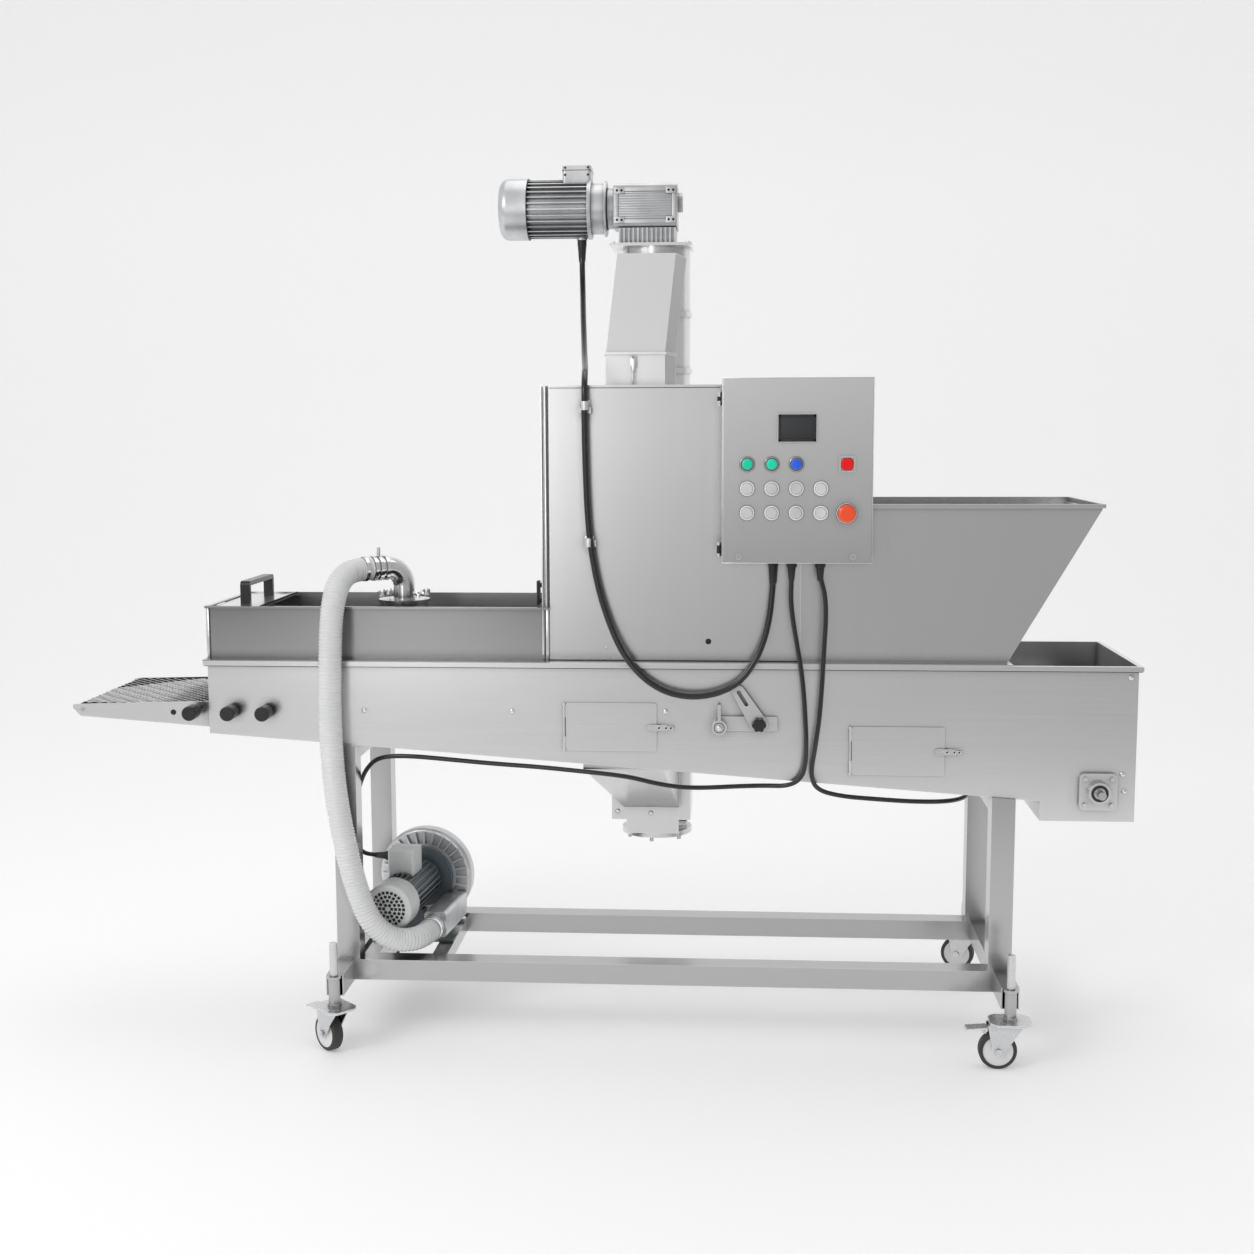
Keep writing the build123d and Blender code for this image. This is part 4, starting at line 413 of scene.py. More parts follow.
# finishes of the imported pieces
finishes = {
    "upright": ["housing", "auger_casing"],
    "chutePanel": ["chute"],
    "cabinetPanel": ["cabinet"],
    "doorPanel": ["cabinet_door"],
    "boxPanel": ["air_box"],
    "hopperPanel": ["hopper"],
    "lidPanel": ["air_lid"],
    "frameSteel": ["base_frame"],
    "panel": ["trough", "conveyor_frame", "hatch_left", "hatch_right"],
    "bright": ["gate_bracket", "gate_lever", "latch_left", "latch_right", "flange_bearing"],
    "pipe": ["air_duct"],
    "roller": ["auger_screw", "drive_roller", "nose_roller"],
    "zinc": ["caster_stems", "pedal_front_left", "pedal_front_right"],
    "blower": ["blower"],
    "motor": ["gearbox", "top_motor", "belt_gearmotor"],
    "blowerMotor": ["blower_motor"],
    "beltGapShade": ["mesh_belt"],
    "fitting": ["cable_fittings"],
    "black": ["lock_knob", "side_knob_1", "side_knob_2", "side_knob_3"],
    "red": ["button_red"],
    "orange": ["stop_button"],
    "lamps": ["pilot_lamps"],
    "cap": ["button_%d_%d" % (row, column) for row in (2, 3) for column in (1, 2, 3, 4)],
}
casterSetup = {
    "offset": 0.030,
    "axleHeight": 0.0475,
    "treadRadius": 0.0375,
    "stems": {"front_left": (-0.842, -0.376), "front_right": (0.870, -0.376),
              "rear_left": (-0.842, 0.376), "rear_right": (0.870, 0.376)},
    "swivels": {"front_left": -44, "front_right": 0, "rear_left": 24, "rear_right": -18},
}


def dress(name, material):
    mesh = nodes[name].data
    mesh.materials.clear()
    mesh.materials.append(material)


def dressCasters(setup):
    for name, (x, y) in setup["stems"].items():
        turn = radians(setup["swivels"][name])
        axle = (x - setup["offset"] * cos(turn), y - setup["offset"] * sin(turn), setup["axleHeight"])
        dress("fork_" + name, skins["zinc"])
        axis = (-sin(turn), cos(turn), 0)
        dress("wheel_" + name, wheelSkin("wheelSkin_" + name, axle, axis, setup["treadRadius"]))


for skin, names in finishes.items():
    for name in names:
        dress(name, skins[skin])
dressCasters(casterSetup)
print("packed pieces dressed")


# mesh helpers
def finishMesh(name, work):
    bmesh.ops.recalc_face_normals(work, faces=work.faces)
    mesh = bpy.data.meshes.new(name)
    work.to_mesh(mesh)
    work.free()
    for face in mesh.polygons:
        face.use_smooth = True
    return mesh


def makePiece(name, work, skin, body="machine", smooth=40):
    mesh = finishMesh(name, work)
    mesh.materials.append(skins[skin])
    piece = bpy.data.objects.new(name, mesh)
    shelf.objects.link(piece)
    mesh.set_sharp_from_angle(angle=radians(smooth))
    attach(piece, body)
    return piece


def frameAt(place, direction):
    ahead = Vector(direction).normalized()
    side = ahead.orthogonal().normalized()
    return Matrix.Translation(place) @ Matrix((side, ahead.cross(side), ahead)).transposed().to_4x4()


def joinRings(work, rings):
    # a ring of one point closes the end
    for near, far in zip(rings, rings[1:]):
        for step in range(max(len(near), len(far))):
            after = step + 1
            corners = [near[step % len(near)], near[after % len(near)],
                       far[after % len(far)], far[step % len(far)]]
            unique = list(dict.fromkeys(corners))
            if len(unique) > 2:
                work.faces.new(unique)


def turned(work, profile, spot, segments=28):
    # profile of (radius, height) pairs spun about the spot's own Z
    rings = []
    for radius, height in profile:
        count = segments if radius else 1
        rings.append([work.verts.new(spot @ Vector((radius * cos(2 * pi * k / segments),
                                                    radius * sin(2 * pi * k / segments), height)))
                      for k in range(count)])
    joinRings(work, rings)


def spunPieces(name, profile, places, skin, slotName=None, segments=28, body="machine"):
    work = bmesh.new()
    for place, direction in places:
        turned(work, profile, frameAt(place, direction), segments)
    return makePiece(name, work, skin, body)


def softBox(work, low, high, bevel=0.001, turn=None):
    size = Vector(high) - Vector(low)
    middle = (Vector(high) + Vector(low)) / 2
    grown = bmesh.ops.create_cube(work, size=1)["verts"]
    bmesh.ops.scale(work, vec=size, verts=grown)
    edges = list({edge for vert in grown for edge in vert.link_edges})
    if bevel:
        result = bmesh.ops.bevel(work, geom=edges, offset=bevel, segments=2, affect="EDGES", profile=0.6)
        rounded = {vert for face in result["faces"] for vert in face.verts}
        grown = list(rounded | {vert for vert in grown if vert.is_valid})
    bmesh.ops.transform(work, matrix=Matrix.Translation(middle) @ (turn or Matrix()), verts=grown)


def boxPieces(name, boxes, skin, bevel=0.001, body="machine"):
    work = bmesh.new()
    for low, high in boxes:
        softBox(work, low, high, bevel)
    return makePiece(name, work, skin, body)


def ringAround(work, middle, side, over, radius, count):
    turns = [2 * pi * k / count for k in range(count)]
    return [work.verts.new(middle + side * radius * cos(turn) + over * radius * sin(turn)) for turn in turns]


def ringProfile(inner, outer, height):
    return [(inner, 0), (inner, height * 0.8), (inner + 0.0006, height), (outer - 0.0008, height),
            (outer, height * 0.7), (outer, 0)]


def bandProfile(inner, outer, width, slope):
    return [(inner, 0), (outer, slope), (outer, width - slope), (inner, width)]


def ringWire(radius, wire, steps=10):
    turns = [2 * pi * k / steps for k in range(steps + 1)]
    return [(radius + wire * cos(turn), wire * sin(turn)) for turn in turns]


front, back, up, down, right = (0, -1, 0), (0, 1, 0), (0, 0, 1), (0, 0, -1), (1, 0, 0)


def onFace(spots, y, way=front):
    # places and direction of heads that sit on an upright sheet
    return [((x, y, z), way) for x, z in spots]


def slabs(rectangles, nearY, farY):
    return [((x0, nearY, z0), (x1, farY, z1)) for x0, z0, x1, z1 in rectangles]


def frameBars(x0, z0, x1, z1, bar):
    return [(x0, z0, x0 + bar, z1), (x1 - bar, z0, x1, z1), (x0, z0, x1, z0 + bar), (x0, z1 - bar, x1, z1)]


# cables and hose, routes in millimetres as in the part
hoseRoute = [
    (-783.67, -112.43, 1228), (-820.07, -138.88, 1228), (-843, -196, 1211), (-850, -250, 1164),
    (-852, -281, 1094), (-855, -286, 998), (-858, -288, 890), (-856, -288, 767), (-846, -288, 640),
    (-822, -288, 500), (-794, -288, 390), (-762, -284, 312), (-716, -262, 266), (-668, -230, 254),
    (-638.26, -189.12, 258), (-632.09, -131.45, 258),
]
mainRoute = [
    (-259.5, 345, 2106), (-259.5, 345, 2066), (-257, 325, 2019), (-252, 282, 1970), (-246, 222, 1925),
    (-239.6, 160, 1883), (-231, 80, 1832), (-218.6, -40, 1778), (-208, -140, 1748), (-203, -205, 1733),
    (-201, -240, 1697), (-201.5, -240, 1640), (-201, -240, 1573), (-199, -240, 1482), (-195.5, -240, 1390),
    (-189, -240, 1304), (-169, -243, 1190), (-138, -248, 1094), (-102, -260, 1019), (-52, -272, 963),
    (4, -275, 929), (66, -276, 917), (128, -275, 924), (183, -274, 949), (220, -270, 990), (250, -262, 1052),
    (265, -257, 1115), (271, -253, 1170), (274, -250, 1214), (274, -250, 1250),
]
leftRoute = [
    (319, -290, 1250), (319, -290, 1212), (317.5, -290, 1165), (325, -291, 1105), (338, -290, 1035),
    (350, -290, 960), (357, -290, 868), (361, -288, 780), (354, -270, 714), (320, -245, 684),
    (255, -232, 682), (191, -234, 680), (106, -240, 676), (42, -248, 678), (-23, -254, 689),
    (-83, -254, 704), (-143, -254, 712), (-216, -250, 718), (-324, -236, 725), (-450, -228, 731),
    (-570, -226, 741), (-670, -222, 748), (-750, -208, 742), (-792, -182, 704), (-818, -166, 645),
    (-834, -146, 582), (-846, -114, 522), (-848, -76, 474), (-838, -48, 440), (-807.44, -31.25, 430),
    (-773.63, -34.86, 430),
]
rightRoute = [
    (390, -290, 1250), (390, -290, 1224), (402, -290, 1186), (406, -291, 1130), (402, -290, 1050),
    (398, -291, 958), (392, -290, 864), (381, -288, 784), (372, -272, 720), (388, -246, 676),
    (450, -230, 656), (540, -228, 649), (640, -222, 642), (730, -190, 636), (786, -120, 632),
    (806, -10, 629), (808, 100, 627), (806, 200, 626), (808, 280, 629), (818, 340, 637), (836, 374, 649),
    (871, 386.5, 655), (895, 386.5, 655),
]
cords = {
    "air_hose": {"route": hoseRoute, "diameter": 0.062, "stiffness": "stiff", "skin": "pvc"},
    "cable_main": {"route": mainRoute, "diameter": 0.016, "stiffness": "medium", "skin": "jacket"},
    "cable_left": {"route": leftRoute, "diameter": 0.012, "stiffness": "medium", "skin": "jacket"},
    "cable_right": {"route": rightRoute, "diameter": 0.012, "stiffness": "medium", "skin": "jacket"},
}


def splineCurve(name, route):
    curve = bpy.data.curves.new(name, "CURVE")
    curve.dimensions = "3D"
    curve.resolution_u = 10
    line = curve.splines.new("NURBS")
    line.points.add(len(route) - 1)
    for point, (x, y, z) in zip(line.points, route):
        point.co = (x / 1000, y / 1000, z / 1000, 1)
    line.order_u = 3
    line.use_endpoint_u = True
    return curve


def runLength(points):
    return sum((Vector(b) - Vector(a)).length for a, b in zip(points, points[1:]))


def splinePoints(route):
    curve = splineCurve("routeProbe", route)
    holder = bpy.data.objects.new("routeProbe", curve)
    shelf.objects.link(holder)
    mesh = bpy.data.meshes.new_from_object(holder)
    points = [vert.co.copy() for vert in mesh.vertices]
    bpy.data.objects.remove(holder)
    bpy.data.curves.remove(curve)
    bpy.data.meshes.remove(mesh)
    return points


def metres(spot):
    return Vector(spot) / 1000


def makeCable(name, setup):
    curve = splineCurve(name + "Line", setup["route"])
    curve.bevel_depth = setup["diameter"] / 2
    curve.bevel_resolution = 5
    curve.use_fill_caps = True
    curve.materials.append(skins[setup["skin"]])
    piece = bpy.data.objects.new(name + "Line", curve)
    shelf.objects.link(piece)
    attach(piece, "machine")
    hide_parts(name)
    points = splinePoints(setup["route"])


hoseForm = {"ribPitch": 0.0088, "ribHeight": 0.0030, "sides": 36, "ringsPerRib": 4}


def makeHose(name, setup, form):
    points = splinePoints(setup["route"])
    total = runLength(points)
    ringCount = int(total / form["ribPitch"]) * form["ringsPerRib"]
    distances = [runLength(points[:count]) for count in range(1, len(points) + 1)]
    work = bmesh.new()
    path, rings = [], []
    side, segment = None, 0
    for ring in range(ringCount + 1):
        along = total * ring / ringCount
        while segment < len(points) - 2 and distances[segment + 1] < along:
            segment += 1
        share = (along - distances[segment]) / (distances[segment + 1] - distances[segment])
        middle = points[segment].lerp(points[segment + 1], share)
        ahead = (points[min(segment + 2, len(points) - 1)] - points[max(segment - 1, 0)]).normalized()
        side = ahead.orthogonal() if side is None else side - ahead * side.dot(ahead)
        side.normalize()
        phase = ring % form["ringsPerRib"] / form["ringsPerRib"]
        radius = setup["diameter"] / 2 - form["ribHeight"] * (0.5 - 0.5 * cos(2 * pi * phase))
        rings.append(ringAround(work, middle, side, ahead.cross(side), radius, form["sides"]))
        path.append(middle)
    joinRings(work, rings)
    for end in (rings[0], rings[-1]):
        work.faces.new(end)
    piece = makePiece("ribbedHose", work, setup["skin"], smooth=80)
    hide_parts(name)


makeHose("air_hose", cords["air_hose"], hoseForm)
for name in ("cable_main", "cable_left", "cable_right"):
    makeCable(name, cords[name])
print("cables and hose made")

# woven belt wires
beltWeave = {"top": 0.8800, "left": -1.545, "right": 1.115, "half": 0.2140, "pitch": 0.026, "radius": 0.0019,
             "step": 0.013, "rise": 0.0008}


def wireStrand(work, points, radius):
    rings = []
    for index, middle in enumerate(points):
        ahead = (points[min(index + 1, len(points) - 1)] - points[max(index - 1, 0)]).normalized()
        side = ahead.cross(Vector(up)).normalized()
        rings.append(ringAround(work, middle, side, side.cross(ahead), radius, 4))
    joinRings(work, rings)


def makeBeltWires(weave):
    # wires cross the belt at 45 degrees and pass over and under each other
    work = bmesh.new()
    level = weave["top"] - weave["radius"] * 0.5 + weave["rise"]
    width = 2 * weave["half"]
    for lean in (1, -1):
        for index in range(int((weave["right"] - weave["left"] + width) / weave["pitch"])):
            points = []
            for crossing in range(int(width / weave["step"]) + 1):
                y = crossing * weave["step"] - weave["half"]
                x = weave["left"] + index * weave["pitch"] + lean * y
                if weave["left"] <= x <= weave["right"]:
                    side = lean if (crossing + index) % 2 else -lean
                    points.append(Vector((x, y, level + weave["rise"] * 0.6 * side)))
            if len(points) > 2:
                wireStrand(work, points, weave["radius"])
    makePiece("beltWires", work, "wire")


makeBeltWires(beltWeave)
print("belt woven")

# small fasteners
roundHead = [(0.0, 0.0034), (0.0030, 0.0033), (0.0052, 0.0024), (0.0068, 0.0008), (0.0070, 0.0)]
rivetHead = [(0.0, 0.0022), (0.0024, 0.0019), (0.0040, 0.0)]
boltHead = [(0.0, 0.0042), (0.0040, 0.0042), (0.0046, 0.0036), (0.0048, 0.0008), (0.0075, 0.0007),
            (0.0075, 0.0)]
smallHead = [(0.0, 0.0016), (0.0026, 0.0015), (0.0034, 0.0)]
gateHead = [(0.0, 0.0040), (0.0052, 0.0038), (0.0066, 0.0026), (0.0072, 0.0)]
nutHead = [(0.0, 0.0095), (0.0040, 0.0092), (0.0056, 0.0040), (0.0066, 0.0)]
darkDisc = [(0.0, 0.0012), (0.0062, 0.0012), (0.0072, 0.0005), (0.0074, 0.0)]
socketDisc = [(0.0, 0.0006), (0.0030, 0.0006), (0.0036, 0.0)]
slotDisc = [(0.0, 0.0004), (0.0021, 0.0004), (0.0026, 0.0)]
screwSetup = {
    "troughFace": 0.2385,
    "troughFront": [(-0.7795, 0.870), (-0.393, 0.871), (0.0024, 0.8735), (1.171, 0.970), (1.157, 0.723),
                    (1.163, 0.679)],
    "countBehind": 4,
    "housingFace": -0.213,
    "rivet": (-0.151, 1.0345),
    "plug": (0.111, 1.052),
    "cheekHole": (-1.291, -0.2230, 0.858),
    "footFace": 0.244,
    "foot": [(-0.0992, 0.5703), (-0.0607, 0.4913), (-0.1567, 0.4960)],
}


def makeScrews(setup):
    face, spots = setup["troughFace"], setup["troughFront"]
    both = onFace(spots, -face) + onFace(spots[:setup["countBehind"]], face, back)
    spunPieces("troughScrews", roundHead, both, "bright", "zinc")
    spunPieces("housingRivet", rivetHead, onFace([setup["rivet"]], setup["housingFace"]), "bright", "zinc")
    # dark discs at the plug and the cheek hole, painted shade of their openings
    holes = onFace([setup["plug"]], setup["housingFace"]) + [(setup["cheekHole"], front)]
    spunPieces("housingHoleShades", darkDisc, holes, "openingShade")
    spunPieces("footScrews", roundHead, onFace(setup["foot"], setup["footFace"]), "bright", "zinc")


makeScrews(screwSetup)

# gearbox front
gearFace = {"y": 0.284, "x": (-0.163, 0.009), "z": (2.161, 2.259), "bar": 0.011, "proud": 0.0026,
            "sunk": 0.001, "pad": (0.028, 0.018), "padProud": 0.0040, "socketProud": 0.0039,
            "sockets": (0.27, 0.73), "ribs": 11, "ribGap": 0.002, "ribProud": 0.0016,
            "ribShares": (0.28, 0.72)}


def dressGearbox(setup):
    (x0, x1), (z0, z1), y, bar = setup["x"], setup["z"], setup["y"], setup["bar"]
    sunkY = y + setup["sunk"]
    width, height = setup["pad"]
    corners = [(x, z) for x in (x0, x1 - width) for z in (z0, z1 - height)]
    pads = [(x, z, x + width, z + height) for x, z in corners]
    boxes = slabs(frameBars(x0, z0, x1, z1, bar), y - setup["proud"], sunkY)
    boxes += slabs(pads, y - setup["padProud"], sunkY)
    boxPieces("gearFrame", boxes, "motor", 0.0008)
    low, high = setup["ribShares"]
    gap = bar + setup["ribGap"]
    pitch = (z1 - z0 - 2 * bar) / setup["ribs"]
    feet = [z0 + bar + pitch * k for k in range(setup["ribs"])]
    ribs = [(x0 + gap, foot + pitch * low, x1 - gap, foot + pitch * high) for foot in feet]
    boxPieces("gearRibs", slabs(ribs, y - setup["ribProud"], sunkY), "motor", 0.0005)
    # dark discs in the bolt sockets, painted shade of their recesses
    sockets = [(x + width * share, z + height / 2) for x, z in corners for share in setup["sockets"]]
    spunPieces("gearSockets", socketDisc, onFace(sockets, y - setup["socketProud"]), "openingShade", None, 20)


dressGearbox(gearFace)

# rings, seams and terminal box of the top motor, and the bolts of its plate
topMotor = {
    "y": 0.345,
    "z": 2.208,
    "bands": {
        "motorRing_1": (-0.2400, ringProfile(0.069, 0.0838, 0.010), "motor", "motor_silver", 72),
        "motorRing_2": (-0.1935, ringProfile(0.069, 0.0772, 0.0062), "motor", "motor_silver", 72),
        "motorSeams": (-0.4098, bandProfile(0.0846, 0.0852, 0.002, 0.0004), "sealAndShade", None, 72),
        "bellSeam": (-0.1868, bandProfile(0.0560, 0.0580, 0.003, 0.0005), "sealAndShade", None, 60),
    },
    "terminalSeam": ((-0.3106, 0.3024, 2.3095), (-0.2294, 0.3876, 2.3110)),
    "terminalFace": 0.3030,
    "terminalScrews": [(x, z) for x in (-0.3020, -0.2380) for z in (2.2975, 2.3170)],
    "plateBolts": [(x, y, 2.104) for x in (-0.164, 0.044) for y in (0.256, 0.434)],
}


def dressTopMotor(setup):
    for name, (x, profile, *look) in setup["bands"].items():
        spunPieces(name, profile, [((x, setup["y"], setup["z"]), right)], *look)
    boxPieces("terminalSeam", [setup["terminalSeam"]], "sealAndShade", bevel=0.0004)
    screws = onFace(setup["terminalScrews"], setup["terminalFace"])
    spunPieces("terminalScrews", smallHead, screws, "sealAndShade", None, 20)
    spunPieces("plateBolts", boltHead, [(spot, up) for spot in setup["plateBolts"]], "bright", "zinc")


dressTopMotor(topMotor)

# sheet joints and folded edges that stand out as fine lines; the joints are dark strips of painted shade
doorEdges = [(0.1456, 1.2660, 0.1474, 1.7150), (0.5096, 1.2660, 0.5112, 1.7150),
             (0.1456, 1.7134, 0.5112, 1.7152), (0.1456, 1.2658, 0.5112, 1.2674)]
wallSeams = [(-0.2998, 1.000, -0.2984, 1.700), (-0.2930, 1.6950, 0.140, 1.6964),
             (-0.2984, 1.0005, 0.345, 1.0030), (-1.1888, 1.001, -1.1874, 1.131),
             (-0.3090, 1.001, -0.3076, 1.131)]
troughSeam = [(-1.1990, 0.9830, 1.199, 0.9850)]
housingFolds = [(-0.3160, 1.000, -0.3120, 1.700), (-0.3062, 1.000, -0.3022, 1.700)]
boxFolds = [(-1.1985, 1.001, -1.1905, 1.132), (-0.3060, 1.001, -0.2990, 1.132)]
wallY, troughY, doorY = -0.2126, -0.2381, -0.3690
seamDepth, housingFoldDepth, boxFoldDepth, doorEdgeDepth = 0.0010, 0.0020, 0.0024, 0.0016
boxPieces("doorEdges", slabs(doorEdges, doorY - doorEdgeDepth, doorY), "bright", 0.0005,
          "cabinet_door")
# dark strips of painted shade along the sheet joints
seams = slabs(wallSeams, wallY - seamDepth, wallY) + slabs(troughSeam, troughY - seamDepth, troughY)
boxPieces("sheetJointShade", seams, "sealAndShade", bevel=0)
folds = slabs(housingFolds, wallY - housingFoldDepth, wallY) + slabs(boxFolds, wallY - boxFoldDepth, wallY)
boxPieces("foldedEdges", folds, "bright", 0.0008)

# toggle latch and chain below the chute collar, all measured from the latch's head
toggle = {"head": (-0.098, 0.100, 1.787), "plate": ((-0.010, -0.0016, -0.030), (0.010, 0.0005, -0.002)),
          "lever": ((-0.0045, -0.0080, -0.040), (0.0045, -0.0014, -0.006)), "eye": (0.0052, 0.0012),
          "eyeSpot": (0, -0.0050, -0.0035), "chain": (0, -0.0046, -0.042), "links": 6,
          "link": (0.0042, 0.0009, 8), "linkPitch": 0.00651, "sway": 0.0012,
          "crossways": (1, -0.35, 0)}


def makeToggle(setup):
    head = Vector(setup["head"])
    work = bmesh.new()
    for part, bevel in (("plate", 0.0006), ("lever", 0.0012)):
        low, high = setup[part]
        softBox(work, head + Vector(low), head + Vector(high), bevel)
    turned(work, ringWire(*setup["eye"]), frameAt(head + Vector(setup["eyeSpot"]), front), 24)
    for link in range(setup["links"]):
        shift = Vector((setup["sway"] * sin(link), 0, -link * setup["linkPitch"]))
        spot = frameAt(head + Vector(setup["chain"]) + shift, front if link % 2 else setup["crossways"])
        turned(work, ringWire(*setup["link"]), spot, 18)
    makePiece("chuteToggle", work, "bright")


makeToggle(toggle)

# dark squares over the openings of the blower's fan grille, painted shade of the cover's inside
grilleSetup = {"middle": (-0.6986, 0.112, 0.334), "face": -0.3321, "pitch": 0.011, "spacing": 0.0115,
               "rings": 4, "side": 0.0078, "thickness": 0.0008}


def makeGrille(setup):
    work = bmesh.new()
    base = Matrix.Translation(setup["middle"]) @ Matrix.Rotation(-blowerTurn, 4, "Z")
    face = base @ Matrix.Translation((0, setup["face"], 0))
    corner = Vector((setup["side"], setup["thickness"], setup["side"])) / 2
    for ring in range(1, setup["rings"] + 1):
        radius = setup["pitch"] * ring
        count = int(2 * pi * radius / setup["spacing"])
        for step in range(count):
            turn = Matrix.Rotation(2 * pi * step / count, 4, "Y")
            softBox(work, -corner, corner, 0, face @ turn @ Matrix.Translation((radius, 0, 0)))
    makePiece("fanGrille", work, "openingShade")


makeGrille(grilleSetup)

# straps that hold the long lead to the housing
strapSetup = {"spots": ((-0.2005, -0.2400, 1.640), (-0.1925, -0.2400, 1.296)),
              "ring": (0.0079, 0.0100, 0.022), "half": 0.012, "plateY": (-0.2160, -0.2128),
              "below": 0.004, "above": 0.026}


def makeStraps(setup):
    rings = [(spot, up) for spot in setup["spots"]]
    spunPieces("leadStraps", ringProfile(*setup["ring"]), rings, "bright", "zinc", 32)
    plates = [(x - setup["half"], z - setup["below"], x + setup["half"], z + setup["above"])
              for x, y, z in setup["spots"]]
    boxPieces("strapPlates", slabs(plates, *setup["plateY"]), "bright", 0.0008)


makeStraps(strapSetup)

# dark pull on the left wall of the housing
pullSetup = {"wall": -0.316, "y": (-0.182, -0.158), "z": (1.141, 1.203), "reach": 0.018, "gap": 0.0095,
             "inset": 0.003, "feet": (1.147, 1.186), "foot": 0.011, "sunk": 0.0005}


def makePull(setup):
    wall, (y0, y1), (z0, z1) = setup["wall"], setup["y"], setup["z"]
    inset, foot = setup["inset"], setup["foot"]
    boxes = [((wall - setup["reach"], y0, z0), (wall - setup["gap"], y1, z1))]
    for z in setup["feet"]:
        boxes.append(((wall - foot, y0 + inset, z), (wall + setup["sunk"], y1 - inset, z + foot)))
    boxPieces("housingPull", boxes, "black", 0.002)


makePull(pullSetup)

# duct joints, wing nuts and hose bands
ductSetup = {"centre": (-0.706, -0.056), "flangeTop": 1.150, "nutRadius": 0.060, "turns": (25, 145, 200, 320),
             "wing": ((-0.0062, -0.0011, -0.0055), (0.0062, 0.0011, 0.0070)), "wingPlace": (0.0088, 0.0095),
             "wingTilt": radians(24), "wingTurn": 0.6, "heading": radians(216), "axisZ": 1.228,
             "seams": (0.053, 0.066), "band": 0.012}


def makeWingNuts(setup):
    work = bmesh.new()
    reach, rise = setup["wingPlace"]
    for degrees in setup["turns"]:
        turn = radians(degrees)
        x = setup["centre"][0] + setup["nutRadius"] * cos(turn)
        y = setup["centre"][1] + setup["nutRadius"] * sin(turn)
        spot = Matrix.Translation((x, y, setup["flangeTop"]))
        turned(work, nutHead, spot, 20)
        wing = Matrix.Rotation(turn + setup["wingTurn"], 4, "Z")
        for side in (-1, 1):
            shift = Matrix.Translation((reach * side, 0, rise))
            tilt = Matrix.Rotation(setup["wingTilt"] * side, 4, "Y")
            softBox(work, *setup["wing"], 0.0009, spot @ wing @ shift @ tilt)
    makePiece("wingNuts", work, "bright")


def makeDuctRings(setup, route):
    ahead = Vector((cos(setup["heading"]), sin(setup["heading"]), 0))
    middle = Vector((*setup["centre"], setup["axisZ"]))
    seams = [(middle + ahead * reach, ahead) for reach in setup["seams"]]
    spunPieces("pipeSeams", bandProfile(0.0288, 0.0298, 0.0023, 0.0005), seams, "sealAndShade", None, 48)
    bands = []
    for end, after in ((route[0], route[1]), (route[-1], route[-2])):
        way = metres(after) - metres(end)
        bands.append((metres(end) + way.normalized() * setup["band"], way))
    spunPieces("hoseBands", bandProfile(0.0305, 0.0330, 0.010, 0.0004), bands, "bright", "zinc", 60)


makeWingNuts(ductSetup)
makeDuctRings(ductSetup, hoseRoute)

# tapered reliefs where the leads leave their glands
leadTaper = [(0.0075, 0.0), (0.0118, 0.0), (0.0122, 0.006), (0.0112, 0.014), (0.0098, 0.040), (0.0086, 0.046),
             (0.0075, 0.046)]
thinTaper = [(0.0055, 0.0), (0.0098, 0.0), (0.0102, 0.005), (0.0092, 0.012), (0.0076, 0.030), (0.0066, 0.034),
             (0.0055, 0.034)]
shortTaper = [(0.0055, 0.0), (0.0098, 0.0), (0.0100, 0.004), (0.0074, 0.020), (0.0066, 0.0225),
              (0.0055, 0.0225)]
leadSink = Vector((0, 0, 0.001))
reliefs = {
    "leadReliefs": (leadTaper, [(metres(spot) + leadSink, down) for spot in (mainRoute[0], mainRoute[-1])]),
    "thinReliefs": (thinTaper, [(metres(leftRoute[0]), down), (metres(rightRoute[0]), down),
                                (metres(leftRoute[-1]), (-33.8, 3.6, 0))]),
    "gearLeadRelief": (shortTaper, [(metres(rightRoute[-1]), (-1, 0, 0))]),
}
for name, (profile, places) in reliefs.items():
    spunPieces(name, profile, places, "black", "black_plastic", 32)

# bearing seal, latch slots and gate screw; the slots are dark discs of painted shade and the gate screw's
# groove a dark ring of painted shade
spunPieces("bearingSeal", ringProfile(0.0150, 0.0215, 0.0014), [((1.096, -0.2703, 0.679), front)], "sealAndShade",
           "black_plastic", 48)
latchSetup = {"face": -0.2457, "level": 0.832, "marks": (-0.014, 0.004, 0.0165),
              "shifts": {"latch_left": (0, 0), "latch_right": (0.7315, -0.056)}}
for body, (shiftX, shiftZ) in latchSetup["shifts"].items():
    marks = [(x + shiftX, latchSetup["level"] + shiftZ) for x in latchSetup["marks"]]
    spots = onFace(marks, latchSetup["face"])
    spunPieces(body + "_slots", slotDisc, spots, "openingShade", None, 20, body)
    spunPieces(body + "_rings", ringProfile(0.0031, 0.0044, 0.0012), spots, "bright", "zinc", 24, body)
gateBoss = [((0.140, -0.2604, 0.836), front)]
spunPieces("gateScrew", gateHead, gateBoss, "bright", "zinc", 32)
# a dark ring of painted shade in the groove round the gate screw
spunPieces("gateGroove", ringProfile(0.0118, 0.0136, 0.0006), gateBoss, "sealAndShade", None, 40)
print("fasteners and trims made")

# controls
panelSetup = {"face": -0.370, "column": 0.207, "pitch": 0.0595, "columns": 4, "lampRow": 1.507,
              "capRows": (1.448, 1.389), "stop": (0.448, 1.388), "screen": (0.2812, 1.5612, 0.3728, 1.6268),
              "screenBar": 0.0068, "frameY": (-0.0050, -0.0025), "glass": (0.2871, 1.5671, 0.3669, 1.6209),
              "glassY": (-0.0030, -0.0016)}


